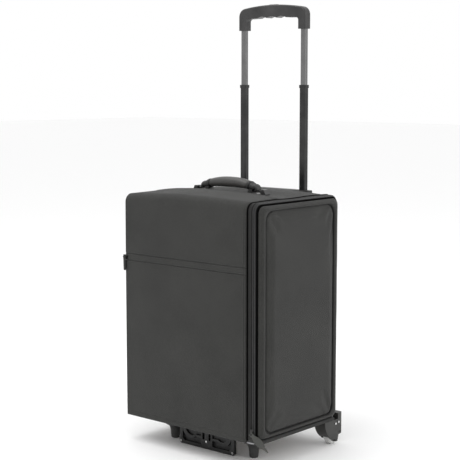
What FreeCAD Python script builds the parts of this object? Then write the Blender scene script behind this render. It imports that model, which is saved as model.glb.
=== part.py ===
import FreeCAD, Part
import Sketcher
import math
import os

# Soft-sided trolley train case.
# Frame: X to the right along the front, Y to the back, Z up, floor at Z = 0.
# Origin: middle of the footprint on the floor.  Units: millimetres.

V = FreeCAD.Vector
os.makedirs("parts", exist_ok=True)
doc = FreeCAD.newDocument("train_case")

# ---------------------------------------------------------------- dimensions
sheet = doc.addObject("Spreadsheet::Sheet", "dims")
TABLE = [
    ("case_left", 199.0),       # left face to the centre plane
    ("rim_face", 197.5),        # right face of the door's rim
    ("case_front", 153.0),      # front face, in front of the origin
    ("case_back", 130.0),       # back face, behind the origin
    ("ground_gap", 58.0),       # floor to the underside
    ("body_tall", 500.0),       # underside to the top edge
    ("crown_rise", 8.0),        # how far the middle of the top stands above its edge
    ("corner_round", 22.0),     # upright corners
    ("top_round", 16.0),        # edges of the top
    ("skin_thick", 1.2),        # woven outer fabric
    ("foam_thick", 4.0),        # padding under the fabric
    ("board_thick", 3.0),       # stiff wall boards
    ("floor_board_thick", 5.0),
    ("lining_thick", 0.8),
    ("door_split", 185.0),      # where the door parts from the case
    ("split_gap", 0.3),
    ("hinge_line_x", 195.0),
    ("hinge_line_z", 60.0),
    ("hinge_cord_rad", 2.0),
    ("door_low", 68.0),         # lower edge of the door
    ("pillow_front", 129.5),
    ("pillow_back", 107.0),
    ("pillow_low", 76.0),
    ("pillow_high", 545.0),
    ("pillow_face", 201.0),
    ("pillow_round", 26.0),
    ("band_low", 414.0),        # zip band across the front
    ("band_high", 428.5),
    ("pocket_left", 193.0),
    ("pocket_right", 157.0),
    ("rail_half", 87.0),        # tube centres either side of the middle
    ("rail_back", 138.5),       # tube centres behind the origin
    ("rail_wide", 20.0),
    ("rail_deep", 16.0),
    ("rail_wall", 1.2),
    ("mid_wide", 17.0),
    ("mid_deep", 13.0),
    ("mid_wall", 1.0),
    ("tube_wide", 14.4),
    ("tube_deep", 10.4),
    ("tube_wall", 1.0),
    ("rail_low", 80.0),
    ("rail_high", 556.0),
    ("bezel_high", 566.0),
    ("mid_low", 506.0),
    ("mid_high", 795.0),
    ("tube_low", 700.0),
    ("tube_high", 962.0),
    ("socket_low", 926.0),
    ("grip_high", 982.0),
    ("grip_deep", 20.0),
    ("wheel_rad", 21.0),
    ("tyre_inner", 15.0),
    ("wheel_wide", 18.0),
    ("wheel_side", 180.5),      # wheel's middle plane from the centre plane
    ("wheel_back", 126.0),
    ("axle_rad", 3.0),
    ("axle_play", 0.05),
    ("arch_rad", 24.0),
    ("cheek_outer", 196.0),
    ("cheek_inner", 166.0),
    ("stand_half", 80.5),
    ("stand_front", 93.0),
    ("stand_back", 85.0),
    ("foot_side", 117.0),
    ("foot_fore", 69.0),
    ("foot_top_rad", 22.0),
    ("foot_low_rad", 9.5),
    ("handle_side", 80.0),      # carry handle mounts
    ("handle_fore", 11.5),
    ("handle_pin_z", 573.6),
    ("handle_pin_rad", 2.5),
]
for i, (alias, value) in enumerate(TABLE):
    sheet.set("A%d" % (i + 1), alias)
    sheet.set("B%d" % (i + 1), str(value))
    sheet.setAlias("B%d" % (i + 1), alias)
doc.recompute()


class Q:
    """A length: its number and the expression that gives it."""

    def __init__(self, v, e, fixed=False):
        self.v, self.e, self.fixed = float(v), e, fixed

    def _op(self, o, sym, f, swap=False):
        o = q(o)
        a, b = (o, self) if swap else (self, o)
        return Q(f(a.v, b.v), "(%s %s %s)" % (a.e, sym, b.e), a.fixed and b.fixed)

    def __add__(self, o): return self._op(o, "+", lambda a, b: a + b)
    def __radd__(self, o): return self._op(o, "+", lambda a, b: a + b, True)
    def __sub__(self, o): return self._op(o, "-", lambda a, b: a - b)
    def __rsub__(self, o): return self._op(o, "-", lambda a, b: a - b, True)
    def __mul__(self, o): return self._op(o, "*", lambda a, b: a * b)
    def __rmul__(self, o): return self._op(o, "*", lambda a, b: a * b, True)
    def __truediv__(self, o): return self._op(o, "/", lambda a, b: a / b)
    def __neg__(self): return Q(-self.v, "(0 - %s)" % self.e, self.fixed)


def q(x):
    return x if isinstance(x, Q) else Q(x, "%.6f" % float(x) if float(x) >= 0 else "(0 - %.6f)" % -float(x), True)


class Dims:
    pass


d = Dims()
for alias, value in TABLE:
    setattr(d, alias, Q(float(sheet.get(alias)), "dims.%s" % alias))

NODES = {}


def bind(obj, prop, value):
    value = q(value)
    if not value.fixed:
        obj.setExpression(prop, value.e)
    return value.v


def node(obj, name):
    obj.Label = name
    NODES[name] = obj
    return obj


# ------------------------------------------------------------ sketch helpers
def new_body(name):
    return doc.addObject("PartDesign::Body", "body_" + name)


def new_sketch(body, plane, off=0, name="outline"):
    sk = body.newObject("Sketcher::SketchObject", name)
    pl = [o for o in body.Origin.OriginFeatures if o.Role == plane][0]
    sk.AttachmentSupport = [(pl, "")]
    sk.MapMode = "FlatFace"
    off = q(off)
    sk.AttachmentOffset = FreeCAD.Placement(V(0, 0, off.v), FreeCAD.Rotation())
    bind(sk, "AttachmentOffset.Base.z", off)
    return sk


def fix(sk, geo, pt, x, y):
    """Pin one point of the sketch to (x, y)."""
    x, y = q(x), q(y)
    if abs(x.v) < 1e-9 and x.fixed:
        sk.addConstraint(Sketcher.Constraint("PointOnObject", geo, pt, -2))
    else:
        c = sk.addConstraint(Sketcher.Constraint("DistanceX", -1, 1, geo, pt, x.v))
        if not x.fixed:
            sk.setExpression("Constraints[%d]" % c, x.e)
    if abs(y.v) < 1e-9 and y.fixed:
        sk.addConstraint(Sketcher.Constraint("PointOnObject", geo, pt, -1))
    else:
        c = sk.addConstraint(Sketcher.Constraint("DistanceY", -1, 1, geo, pt, y.v))
        if not y.fixed:
            sk.setExpression("Constraints[%d]" % c, y.e)


def circle(sk, cx, cy, r):
    cx, cy, r = q(cx), q(cy), q(r)
    g = sk.addGeometry(Part.Circle(V(cx.v, cy.v, 0), V(0, 0, 1), r.v), False)
    fix(sk, g, 3, cx, cy)
    c = sk.addConstraint(Sketcher.Constraint("Radius", g, r.v))
    if not r.fixed:
        sk.setExpression("Constraints[%d]" % c, r.e)


def outline(sk, pts):
    """Closed outline.  A point is (x, y), or (x, y, bulge_point) when the side
    that leaves it is an arc through bulge_point."""
    n = len(pts)
    ids = []
    for i in range(n):
        a, b = pts[i], pts[(i + 1) % n]
        pa, pb = V(q(a[0]).v, q(a[1]).v, 0), V(q(b[0]).v, q(b[1]).v, 0)
        if len(a) == 3:
            m = V(q(a[2][0]).v, q(a[2][1]).v, 0)
            g = sk.addGeometry(Part.Arc(pa, m, pb), False)
            first = 1 if (sk.getPoint(g, 1) - pa).Length < 1e-6 else 2
        else:
            g = sk.addGeometry(Part.LineSegment(pa, pb), False)
            first = 1
        ids.append((g, first))
    for i in range(n):
        g, f = ids[i]
        h, k = ids[(i + 1) % n]
        sk.addConstraint(Sketcher.Constraint("Coincident", g, 3 - f, h, k))
    for i in range(n):
        fix(sk, ids[i][0], ids[i][1], pts[i][0], pts[i][1])
    for i in range(n):
        if len(pts[i]) == 3:
            g = ids[i][0]
            sk.addConstraint(Sketcher.Constraint("Radius", g, sk.Geometry[g].Radius))


def rounded(sk, x0, x1, y0, y1, r=0):
    """Rectangle with rounded corners, fully constrained."""
    x0, x1, y0, y1, r = q(x0), q(x1), q(y0), q(y1), q(r)
    if r.v == 0:
        outline(sk, [(x0, y0), (x1, y0), (x1, y1), (x0, y1)])
        return
    k = 1 - math.sqrt(0.5)
    a, b, c, e, p = x0.v, x1.v, y0.v, y1.v, r.v
    corners = [((b - p, c), (b - p * k, c + p * k), (b, c + p)),
               ((b, e - p), (b - p * k, e - p * k), (b - p, e)),
               ((a + p, e), (a + p * k, e - p * k), (a, e - p)),
               ((a, c + p), (a + p * k, c + p * k), (a + p, c))]
    lines = [((a + p, c), (b - p, c)), ((b, c + p), (b, e - p)),
             ((b - p, e), (a + p, e)), ((a, e - p), (a, c + p))]
    L, A = [], []
    for i in range(4):
        L.append(sk.addGeometry(Part.LineSegment(V(*lines[i][0], 0), V(*lines[i][1], 0)), False))
        A.append(sk.addGeometry(Part.Arc(V(*corners[i][0], 0), V(*corners[i][1], 0), V(*corners[i][2], 0)), False))
    for i in range(4):
        sk.addConstraint(Sketcher.Constraint("Tangent", L[i], 2, A[i], 1))
        sk.addConstraint(Sketcher.Constraint("Tangent", A[i], 2, L[(i + 1) % 4], 1))
    sk.addConstraint(Sketcher.Constraint("Horizontal", L[0]))
    sk.addConstraint(Sketcher.Constraint("Vertical", L[1]))
    sk.addConstraint(Sketcher.Constraint("Horizontal", L[2]))
    sk.addConstraint(Sketcher.Constraint("Vertical", L[3]))
    for i in range(1, 4):
        sk.addConstraint(Sketcher.Constraint("Equal", A[0], A[i]))

    def con(kind, *args):
        val = args[-1]
        ix = sk.addConstraint(Sketcher.Constraint(kind, *args[:-1], val.v))
        if not val.fixed:
            sk.setExpression("Constraints[%d]" % ix, val.e)
    con("Radius", A[0], r)
    con("DistanceY", -1, 1, L[0], 1, y0)
    con("DistanceX", -1, 1, L[1], 1, x1)
    con("DistanceY", -1, 1, L[2], 1, y1)
    con("DistanceX", -1, 1, L[3], 1, x0)


def pad(body, sk, length, name="pad"):
    f = body.newObject("PartDesign::Pad", name)
    f.Profile = sk
    f.Length = bind(f, "Length", length)
    sk.Visibility = False
    return f


def pocket(body, sk, length, name="pocket", reverse=False):
    f = body.newObject("PartDesign::Pocket", name)
    f.Profile = sk
    f.Length = bind(f, "Length", length)
    f.Reversed = reverse
    return f


def prism(name, plane, draw, lo, hi):
    """A body padded from lo to hi along the plane's axis (X, Y or Z)."""
    b = new_body(name)
    lo, hi = q(lo), q(hi)
    start = -hi if plane == "XZ_Plane" else lo
    sk = new_sketch(b, plane, start)
    draw(sk)
    pad(b, sk, hi - lo)
    doc.recompute()
    return b


def cut_through(body, plane, draw, lo, hi, name="recess"):
    """Remove what lies inside the outline between lo and hi along the plane's axis."""
    before = body.Shape.Volume
    lo, hi = q(lo), q(hi)
    start = -lo if plane == "XZ_Plane" else hi
    sk = new_sketch(body, plane, start, name)
    draw(sk)
    # the cut runs back from the sketch, against its normal
    pocket(body, sk, hi - lo, name + "_cut")
    doc.recompute()
    if body.Shape.Volume > before - 1e-6:
        raise RuntimeError("%s cuts nothing in %s" % (name, body.Name))
    return body


def edges_where(shape, test):
    return ["Edge%d" % (i + 1) for i, e in enumerate(shape.Edges) if test(e)]


def fillet(body, test, r, name="round"):
    base = body.Tip
    f = body.newObject("PartDesign::Fillet", name)
    f.Base = (base, edges_where(base.Shape, test))
    f.Radius = bind(f, "Radius", r)
    doc.recompute()
    if f.Shape.isNull() or not f.isValid():
        raise RuntimeError("%s fails on %s" % (name, body.Name))
    return f


def spin(name, plane, pts, axis, place=None):
    """Revolved body; the outline is drawn on one side of the sketch's own axis."""
    b = new_body(name)
    sk = new_sketch(b, plane)
    outline(sk, pts)
    f = b.newObject("PartDesign::Revolution", "turned")
    f.Profile = sk
    f.ReferenceAxis = (sk, [axis])
    f.Angle = 360
    doc.recompute()
    return b


def vertical(e):
    return len(e.Vertexes) == 2 and abs(e.Vertexes[0].X - e.Vertexes[1].X) < 1e-4 \
        and abs(e.Vertexes[0].Y - e.Vertexes[1].Y) < 1e-4 and type(e.Curve) is Part.Line


def put(obj, x=0, y=0, z=0, rot=None):
    x, y, z = q(x), q(y), q(z)
    obj.Placement = FreeCAD.Placement(V(x.v, y.v, z.v), rot or FreeCAD.Rotation())
    for k, val in (("x", x), ("y", y), ("z", z)):
        bind(obj, "Placement.Base.%s" % k, val)
    return obj


def cyl(x, y, z, r, length, axis="Z", name="round_bar"):
    """Cylinder that starts at (x, y, z) and runs along the axis."""
    c = doc.addObject("Part::Cylinder", name)
    c.Radius = bind(c, "Radius", r)
    c.Height = bind(c, "Height", length)
    rot = {"Z": FreeCAD.Rotation(), "X": FreeCAD.Rotation(V(0, 1, 0), 90),
           "Y": FreeCAD.Rotation(V(1, 0, 0), -90)}[axis]
    return put(c, x, y, z, rot)


def box(x0, x1, y0, y1, z0, z1, name="slab"):
    x0, x1, y0, y1, z0, z1 = (q(k) for k in (x0, x1, y0, y1, z0, z1))
    c = doc.addObject("Part::Box", name)
    c.Length = bind(c, "Length", x1 - x0)
    c.Width = bind(c, "Width", y1 - y0)
    c.Height = bind(c, "Height", z1 - z0)
    return put(c, x0, y0, z0)


def cut(a, b, name="cut"):
    f = doc.addObject("Part::Cut", name)
    f.Base, f.Tool = a, b
    return f


def common(a, b, name="common"):
    f = doc.addObject("Part::Common", name)
    f.Base, f.Tool = a, b
    return f


def fuse(parts, name="joined"):
    f = doc.addObject("Part::MultiFuse", name)
    f.Shapes = parts
    f.Refine = True
    return f


def group(parts, name="group"):
    f = doc.addObject("Part::Compound", name)
    f.Links = parts
    return f


# ------------------------------------------------- the case's rounded block
top_edge = d.ground_gap + d.body_tall


def block(off, low, name):
    """The whole rounded shape, set in by off on every face but the lower one."""
    off, low = q(off), q(low)
    xl, xr = -(d.case_left - off), d.rim_face - off
    edge, apex = top_edge - off, top_edge + d.crown_rise - off
    mid = (xl + xr) / 2
    b = new_body(name)
    sk = new_sketch(b, "XZ_Plane", -(d.case_back - off))
    outline(sk, [(xl, low), (xr, low), (xr, edge, (mid, apex)), (xl, edge)])
    pad(b, sk, d.case_front + d.case_back - 2 * off)
    doc.recompute()
    fillet(b, vertical, d.corner_round - off, "upright_corners")
    lo_z = edge.v - 0.5
    fillet(b, lambda e: e.BoundBox.ZMin > lo_z, d.top_round - off, "top_edges")
    return b


B_tape = block(-0.8, d.ground_gap, "over_tape")
B_coil = block(-2.2, d.ground_gap, "over_coil")
B0 = block(0, d.ground_gap, "outside")
B1 = block(d.skin_thick, d.ground_gap + d.skin_thick, "under_skin")
B2 = block(d.skin_thick + d.foam_thick, d.ground_gap - 8, "under_foam")
wall = d.skin_thick + d.foam_thick + d.board_thick
floor_top = d.ground_gap + d.skin_thick + d.floor_board_thick
B3 = block(wall, floor_top, "under_boards")
B4 = block(wall + d.lining_thick, floor_top + d.lining_thick, "inside")

# the case keeps everything left of the split
case_zone = box(-240, d.door_split, -220, 220, 40, 640, "case_zone")
door_zone = prism("door_zone", "XZ_Plane", lambda s: outline(s, [
    (d.door_split + d.split_gap, d.door_low), (d.rim_face + 20, d.door_low),
    (d.rim_face + 20, 640), (d.door_split + d.split_gap, 640)]), -220, 220)

node(common(cut(B0, B1), case_zone, "outer_fabric"), "outer_fabric_shell")
foam_zone = box(-240, d.door_split - 0.5, -220, 220, 40, 640, "foam_zone")
node(common(cut(B1, B2), foam_zone, "padding"), "foam_padding")
lining_zone = box(-240, d.door_split - 0.5, -220, 220, 40, 640, "lining_zone")
node(common(cut(B3, B4), lining_zone, "lining"), "inner_lining")

# ------------------------------------------------------------- wall boards
bo = d.skin_thick + d.foam_thick            # outside of the boards from the faces
wide_l = d.case_left - d.corner_round
board_lo, board_hi = floor_top, top_edge - d.top_round
slab_r = d.door_split - 0.5
wall_r = d.rim_face - d.corner_round - 0.3   # front and rear boards stop where the corner turns


def board(name, plane, x0, x1, y0, y1, a, b):
    bd = prism(name, plane, lambda s: rounded(s, x0, x1, y0, y1, 3), a, b)
    return node(bd, name)


board("front_board", "XZ_Plane", -wide_l, wall_r, board_lo, board_hi,
      -(d.case_front - bo), -(d.case_front - bo) + d.board_thick)
board("rear_board", "XZ_Plane", -wide_l, wall_r, board_lo, board_hi,
      d.case_back - bo - d.board_thick, d.case_back - bo)
board("left_board", "YZ_Plane", -(d.case_front - d.corner_round), d.case_back - d.corner_round,
      board_lo, board_hi, -(d.case_left - bo), -(d.case_left - bo) + d.board_thick)
# the top board follows the crown of the top
tb = new_body("top_board")
sk = new_sketch(tb, "XZ_Plane", -(d.case_back - d.top_round))
xa, xb = -(d.case_left - d.top_round), slab_r - 3
xm = (xa + xb) / 2
outline(sk, [(xa, top_edge - 7.3, (xm, top_edge)), (xb, top_edge - 7.3),
             (xb, top_edge - 4.7, (xm, top_edge + 2.5)), (xa, top_edge - 4.7)])
pad(tb, sk, d.case_front + d.case_back - 2 * d.top_round)
doc.recompute()
node(tb, "top_board")
tongue_f, tongue_b = d.case_front - d.corner_round - 2, d.case_back - d.corner_round - 2
node(fuse([prism("floor_board", "XY_Plane", lambda s: rounded(
    s, -(d.case_left - bo - 0.2), slab_r, -(d.case_front - bo - 0.2), d.case_back - bo - 0.2, 16.5),
    d.ground_gap + d.skin_thick, floor_top),
    box(slab_r - 20, d.hinge_line_x - d.hinge_cord_rad - 0.2, -tongue_f, tongue_b, d.ground_gap + d.skin_thick, floor_top, "floor_tongue")],
    "floor_and_tongue"), "bottom_board")


def corner_strip(name, cy, sign):
    """Quarter round strip that stiffens one upright corner."""
    ro, ri = d.corner_round - bo - 0.1, d.corner_round - bo - d.board_thick + 0.1
    k = math.sqrt(0.5)
    cx = -wide_l
    ca, sa = math.cos(math.radians(2)), math.sin(math.radians(2))
    return prism(name, "XY_Plane", lambda s: outline(s, [
        (cx - ro * sa, cy + sign * ro * ca, (cx - ro * k, cy + sign * ro * k)),
        (cx - ro * ca, cy + sign * ro * sa),
        (cx - ri * ca, cy + sign * ri * sa, (cx - ri * k, cy + sign * ri * k)),
        (cx - ri * sa, cy + sign * ri * ca)]), board_lo, board_hi)


node(group([corner_strip("corner_front", -(d.case_front - d.corner_round), -1),
            corner_strip("corner_back", d.case_back - d.corner_round, 1)]), "corner_stiffeners")

# four plastic bars that frame the mouth of the case, inside the lining
in_off = wall + d.lining_thick
fx0, fx1 = d.door_split - 7.5, d.door_split - 1
fy0, fy1 = -(d.case_front - in_off) + 3.9, d.case_back - in_off - 3.9
fz0, fz1 = floor_top + d.lining_thick + 0.2, top_edge - 13.5
node(group([
    box(fx0, fx1, fy0, fy0 + 5, fz0 + 14, fz1 - 14, "bar_front"),
    box(fx0, fx1, fy1 - 5, fy1, fz0 + 14, fz1 - 14, "bar_back"),
    box(fx0, fx1, fy0 + 6, fy1 - 6, fz0, fz0 + 5, "bar_low"),
    box(fx0, fx1, fy0 + 14, fy1 - 14, fz1 - 5, fz1, "bar_high")]), "opening_frame")

# ------------------------------------------------------------ front pocket
node(prism("pocket_panel", "XZ_Plane", lambda s: rounded(
    s, -d.pocket_left, d.pocket_right, d.ground_gap + 12, d.band_low - 0.2, 6),
    -(d.case_front + 2.2), -(d.case_front + 0.1)), "front_pocket_panel")
node(prism("pocket_tape", "XZ_Plane", lambda s: rounded(
    s, -d.pocket_left, d.pocket_right, d.band_low, d.band_high, 1.5),
    -(d.case_front + 1.0), -(d.case_front + 0.1)), "pocket_zip_tape")
band_mid = (d.band_low + d.band_high) / 2
node(prism("pocket_chain", "XZ_Plane", lambda s: rounded(
    s, -d.pocket_left + 6, d.pocket_right - 6, band_mid - 2.3, band_mid + 2.3, 1),
    -(d.case_front + 2.6), -(d.case_front + 1.1)), "pocket_zip_chain")

# ----------------------------------------------------- zip round the door
tape = cut(B_tape, B0, "tape_ring")
coil = cut(B_coil, B_tape, "coil_ring")
z_end = d.door_low + 6


def zip_zone(x0, x1, name):
    """Where one half of the zip runs: down to the low corner in front, to the
    wheel housing behind."""
    return fuse([box(x0, x1, -220, 100, z_end, 640, name + "_front"), box(x0, x1, 99, 220, z_end + 4, 640, name + "_back")], name)


node(common(tape, zip_zone(d.door_split - 12, d.door_split - 0.1, "run_a"), "tape_case"), "case_zip_tape")
node(common(coil, zip_zone(d.door_split - 2.6, d.door_split - 0.1, "run_b"), "coil_case"), "case_zip_coil")
node(common(tape, zip_zone(d.door_split + 0.4, d.door_split + 9, "run_c"), "tape_door"), "door_zip_tape")
node(common(coil, zip_zone(d.door_split + 0.4, d.door_split + 2.9, "run_d"), "coil_door"), "door_zip_coil")

# round cord along the lower edge: the door folds down about it
node(cyl(d.hinge_line_x, -(d.case_front - d.corner_round), d.hinge_line_z, d.hinge_cord_rad,
         d.case_front + d.case_back - 2 * d.corner_round, "Y", "hinge_cord"), "hinge_piping")

# -------------------------------------------------------------------- door
dx0 = d.door_split + d.split_gap
lay1, lay2 = dx0 + d.lining_thick, dx0 + d.lining_thick + d.board_thick
node(common(B1, box(dx0, lay1, -220, 220, d.door_low + d.skin_thick, 640), "door_inner"), "door_lining")
node(common(B1, box(lay1, lay2, -220, 220, d.door_low + d.skin_thick, 640), "door_stiffener"), "door_board")
core = common(B1, box(dx0 - 5, lay2, -220, 220, d.door_low + d.skin_thick, 640), "door_core")
pk = lambda s, g=0: rounded(s, -(d.pillow_front + g), d.pillow_back + g, d.pillow_low - g, d.pillow_high + g, d.pillow_round)
rim = common(B0, door_zone, "door_outer")
rim = cut(rim, core, "door_hollow")
rim = cut(rim, prism("pillow_space", "YZ_Plane", lambda s: pk(s), lay2 + 0.9, d.rim_face + 5), "door_recess")
node(rim, "door_rim")
pillow = prism("pillow", "YZ_Plane", lambda s: pk(s, -0.3), lay2 + 1.0, d.pillow_face)
fillet(pillow, lambda e: e.BoundBox.XMin > d.pillow_face.v - 0.01, 4.0, "soft_edge")
node(pillow, "door_padded_panel")
# piping round the padded panel
pin = 5.0
pipe = new_body("piping")
sk = new_sketch(pipe, "YZ_Plane", d.rim_face + 0.9, "route")
rounded(sk, -(d.pillow_front + pin), d.pillow_back + pin, d.pillow_low - pin, d.pillow_high + pin, d.pillow_round + pin)
doc.recompute()
prof = new_sketch(pipe, "XZ_Plane", d.pillow_front - 60, "section")
circle(prof, d.rim_face + 0.9 + 1.0, d.pillow_low - pin, 1.8)
sw = pipe.newObject("PartDesign::AdditivePipe", "sweep")
sw.Profile = prof
sw.Spine = sk
doc.recompute()
node(pipe, "door_piping")

# ------------------------------------------------------ telescopic handle
rb = d.rail_back


def tube(name, side, w, dp, t, r, z0, z1):
    b = new_body(name)
    sk = new_sketch(b, "XY_Plane", z0)
    cx = d.rail_half * side
    rounded(sk, cx - w / 2, cx + w / 2, rb - dp / 2, rb + dp / 2, r)
    rounded(sk, cx - w / 2 + t, cx + w / 2 - t, rb - dp / 2 + t, rb + dp / 2 - t, q(r) - t)
    pad(b, sk, z1 - z0)
    doc.recompute()
    return b


for side, tag in ((-1, "left"), (1, "right")):
    node(tube("rail_" + tag, side, d.rail_wide, d.rail_deep, d.rail_wall, 3.5, d.rail_low, d.rail_high),
         "rail_" + tag)
    m = tube("mid_" + tag, side, d.mid_wide, d.mid_deep, d.mid_wall, 3.2, d.mid_low, d.mid_high)
    # round lock hole low on the tube's left wall
    cut_through(m, "YZ_Plane", lambda s: circle(s, rb, 640, 2.2),
                d.rail_half * side - d.mid_wide / 2 - 1, d.rail_half * side - d.mid_wide / 2 + d.mid_wall + 0.4, "lock_hole")
    node(m, "mid_tube_" + tag)
    node(tube("inner_" + tag, side, d.tube_wide, d.tube_deep, d.tube_wall, 2.8, d.tube_low, d.tube_high),
         "inner_tube_" + tag)

# plastic bezel on top of the rails
bz = prism("bezel", "XY_Plane", lambda s: rounded(s, -(d.rail_half + 19), d.rail_half + 19,
           d.case_back + 0.2, rb + 11.5, 5), d.rail_high, d.bezel_high)
fillet(bz, lambda e: e.BoundBox.ZMin > d.bezel_high.v - 0.01, 1.5, "edge")
for side, tag in ((-1, "left"), (1, "right")):
    cut_through(bz, "XY_Plane", lambda s: rounded(s, d.rail_half * side - d.mid_wide / 2 - 0.3, d.rail_half * side + d.mid_wide / 2 + 0.3,
                rb - d.mid_deep / 2 - 0.3, rb + d.mid_deep / 2 + 0.3, 3.4), d.rail_high - 1, d.bezel_high + 1, "way_" + tag)
node(bz, "rail_bezel")
# foot bracket that joins the rails at the bottom
fb = prism("rail_foot", "XY_Plane", lambda s: rounded(s, -(d.rail_half + 16), d.rail_half + 16,
           d.case_back + 0.2, rb + 9.5, 4), d.rail_low - 16, d.rail_low + 6)
for side, tag in ((-1, "left"), (1, "right")):
    cut_through(fb, "XY_Plane", lambda s: rounded(s, d.rail_half * side - d.rail_wide / 2 - 0.05, d.rail_half * side + d.rail_wide / 2 + 0.05,
                rb - d.rail_deep / 2 - 0.05, rb + d.rail_deep / 2 + 0.05, 3.5), d.rail_low, d.rail_low + 8, "seat_" + tag)
node(fb, "rail_foot_bracket")
# padded cover over the rails: a back plate with two side walls
cov = prism("rail_cover", "XY_Plane", lambda s: outline(s, [
    (-(d.rail_half + 21), d.case_back + 0.2), (-(d.rail_half + 19), d.case_back + 0.2),
    (-(d.rail_half + 19), rb + 9.7), (d.rail_half + 19, rb + 9.7),
    (d.rail_half + 19, d.case_back + 0.2), (d.rail_half + 21, d.case_back + 0.2),
    (d.rail_half + 21, rb + 11.7), (-(d.rail_half + 21), rb + 11.7)]), d.rail_low - 16, d.rail_high - 0.3)
node(cov, "rear_rail_cover")
rail_scr = [cyl(sx * 60, rb + 3, d.rail_low - 18.2, 3.2, 2.0, "Z", "rail_screw") for sx in (-1, 0, 1)]

# slide bushes on top of the middle tubes
bush = []
for side, tag in ((-1, "left"), (1, "right")):
    b = new_body("bush_" + tag)
    sk = new_sketch(b, "XY_Plane", d.mid_high)
    cx = d.rail_half * side
    rounded(sk, cx - d.mid_wide / 2 - 1.3, cx + d.mid_wide / 2 + 1.3, rb - d.mid_deep / 2 - 1.3, rb + d.mid_deep / 2 + 1.3, 4)
    rounded(sk, cx - d.tube_wide / 2 - 0.3, cx + d.tube_wide / 2 + 0.3, rb - d.tube_deep / 2 - 0.3, rb + d.tube_deep / 2 + 0.3, 3)
    pad(b, sk, 7)
    doc.recompute()
    bush.append(b)
# lower bushes that keep the middle tubes square in the rails
low_plug = []
for side, tag in ((-1, "left"), (1, "right")):
    cx = d.rail_half * side
    low_plug.append(prism("plug_" + tag, "XY_Plane", lambda s: rounded(
        s, cx - d.mid_wide / 2 + 1.1, cx + d.mid_wide / 2 - 1.1, rb - d.mid_deep / 2 + 1.1, rb + d.mid_deep / 2 - 1.1, 2),
        d.mid_low - 4, d.mid_low + 10))
node(group(bush + low_plug), "mid_tube_bushes")

# grip: an arched bar on two sockets, hollow for the rods, in two shells
gh = d.grip_high
half = d.rail_half


# the bar runs into the sockets through round corners, tangent to its arched top
g_out, g_bend, g_drop = half.v + 10, 19.0, 6.2
g_a = g_out - 13.0
for _ in range(30):
    g_R = (g_a ** 2 + g_drop ** 2) / (2 * g_drop)
    g_t = math.asin(g_a / g_R)
    g_a = g_out - g_bend * (1 - math.sin(g_t))
g_zc = -g_drop - g_bend * math.cos(g_t)             # below the top, where the corner turns upright
g_m = (math.pi / 2 - g_t) / 2
g_cx, g_cz = g_out - g_bend * (1 - math.cos(g_m)), g_zc + g_bend * math.sin(g_m)


def grip_outline(s):
    o, i = half + 10, half - 10
    pts = [(-o, d.socket_low), (-i, d.socket_low), (-i, gh - 37, (-i + 2.05, gh - 32.05)), (-i + 7, gh - 30),
           (-42, gh - 29.4, (-28, gh - 26.2)), (-14, gh - 29.4, (0, gh - 26.2)), (14, gh - 29.4, (28, gh - 26.2)),
           (42, gh - 29.4), (i - 7, gh - 30, (i - 2.05, gh - 32.05)), (i, gh - 37), (i, d.socket_low),
           (o, d.socket_low), (o, gh + g_zc, (g_cx, gh + g_cz)), (g_a, gh - g_drop, (0, gh)),
           (-g_a, gh - g_drop, (-g_cx, gh + g_cz)), (-o, gh + g_zc)]
    outline(s, pts)


gp = prism("grip_solid", "XZ_Plane", lambda s: grip_outline(s), rb - d.grip_deep / 2, rb + d.grip_deep / 2)
doc.recompute()
def long_edge(e):
    bb = e.BoundBox
    flat_y = bb.YLength < 1e-4 and (abs(bb.YMin - (rb - d.grip_deep / 2).v) < 1e-3 or abs(bb.YMin - (rb + d.grip_deep / 2).v) < 1e-3)
    return flat_y


fillet(gp, lambda e: long_edge(e) and e.BoundBox.ZMax > gh.v - 8, 3.2, "soft_top")
# channel for the yoke and the two tube seats
cut_through(gp, "XZ_Plane", lambda s: rounded(s, -(half + 3), half + 3, gh - 20 + 3.2, gh - 10.0, 2), rb - 5.2, rb + 5.2, "yoke_channel")
for side, tag in ((-1, "left"), (1, "right")):
    cut_through(gp, "XY_Plane", lambda s: rounded(s, half * side - d.tube_wide / 2 - 0.05, half * side + d.tube_wide / 2 + 0.05,
                rb - d.tube_deep / 2 - 0.05, rb + d.tube_deep / 2 + 0.05, 2.8), d.socket_low - 1, gh - 16.7, "seat_" + tag)
cut_through(gp, "XY_Plane", lambda s: rounded(s, -12.35, 12.35, rb - 6.35, rb + 6.35, 4.0), gh - 12, gh + 3, "button_window")
node(common(gp, box(-150, 150, rb - 30, rb - 0.02, 900, 1000), "shell_front"), "grip_front_shell")
node(common(gp, box(-150, 150, rb + 0.02, rb + 30, 900, 1000), "shell_back"), "grip_rear_shell")

# release button: cap, stem and yoke in one moulding; rods run down the tubes
bt = prism("button_cap", "XY_Plane", lambda s: rounded(s, -12, 12, rb - 6, rb + 6, 3.7), gh - 6.2, gh + 1.0)
fillet(bt, lambda e: e.BoundBox.ZMin > gh.v + 0.99, 1.6, "dome")
node(bt, "release_button")
yk = fuse([box(-(half + 2), half + 2, rb - 3, rb + 3, gh - 11.9, gh - 10.3, "yoke_bar"),
           cyl(0, rb, gh - 10.5, 2.6, 4.3, "Z", "yoke_stem")], "yoke")
rods = [yk] + [cyl(half * s, rb, d.tube_low + 19, 1.8, gh - 11.0 - d.tube_low - 19, "Z", "rod") for s in (-1, 1)]
node(fuse(rods, "yoke_and_rods"), "push_rods")
sp = doc.addObject("Part::Feature", "spring_coil")
turn, high, rad, steps = 1.9, 3.6, 4.6, 12


def coil_at(i):
    w = 2 * math.pi * high / turn * i / steps
    return V(rad * math.cos(w), rad * math.sin(w), high * i / steps)


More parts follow.
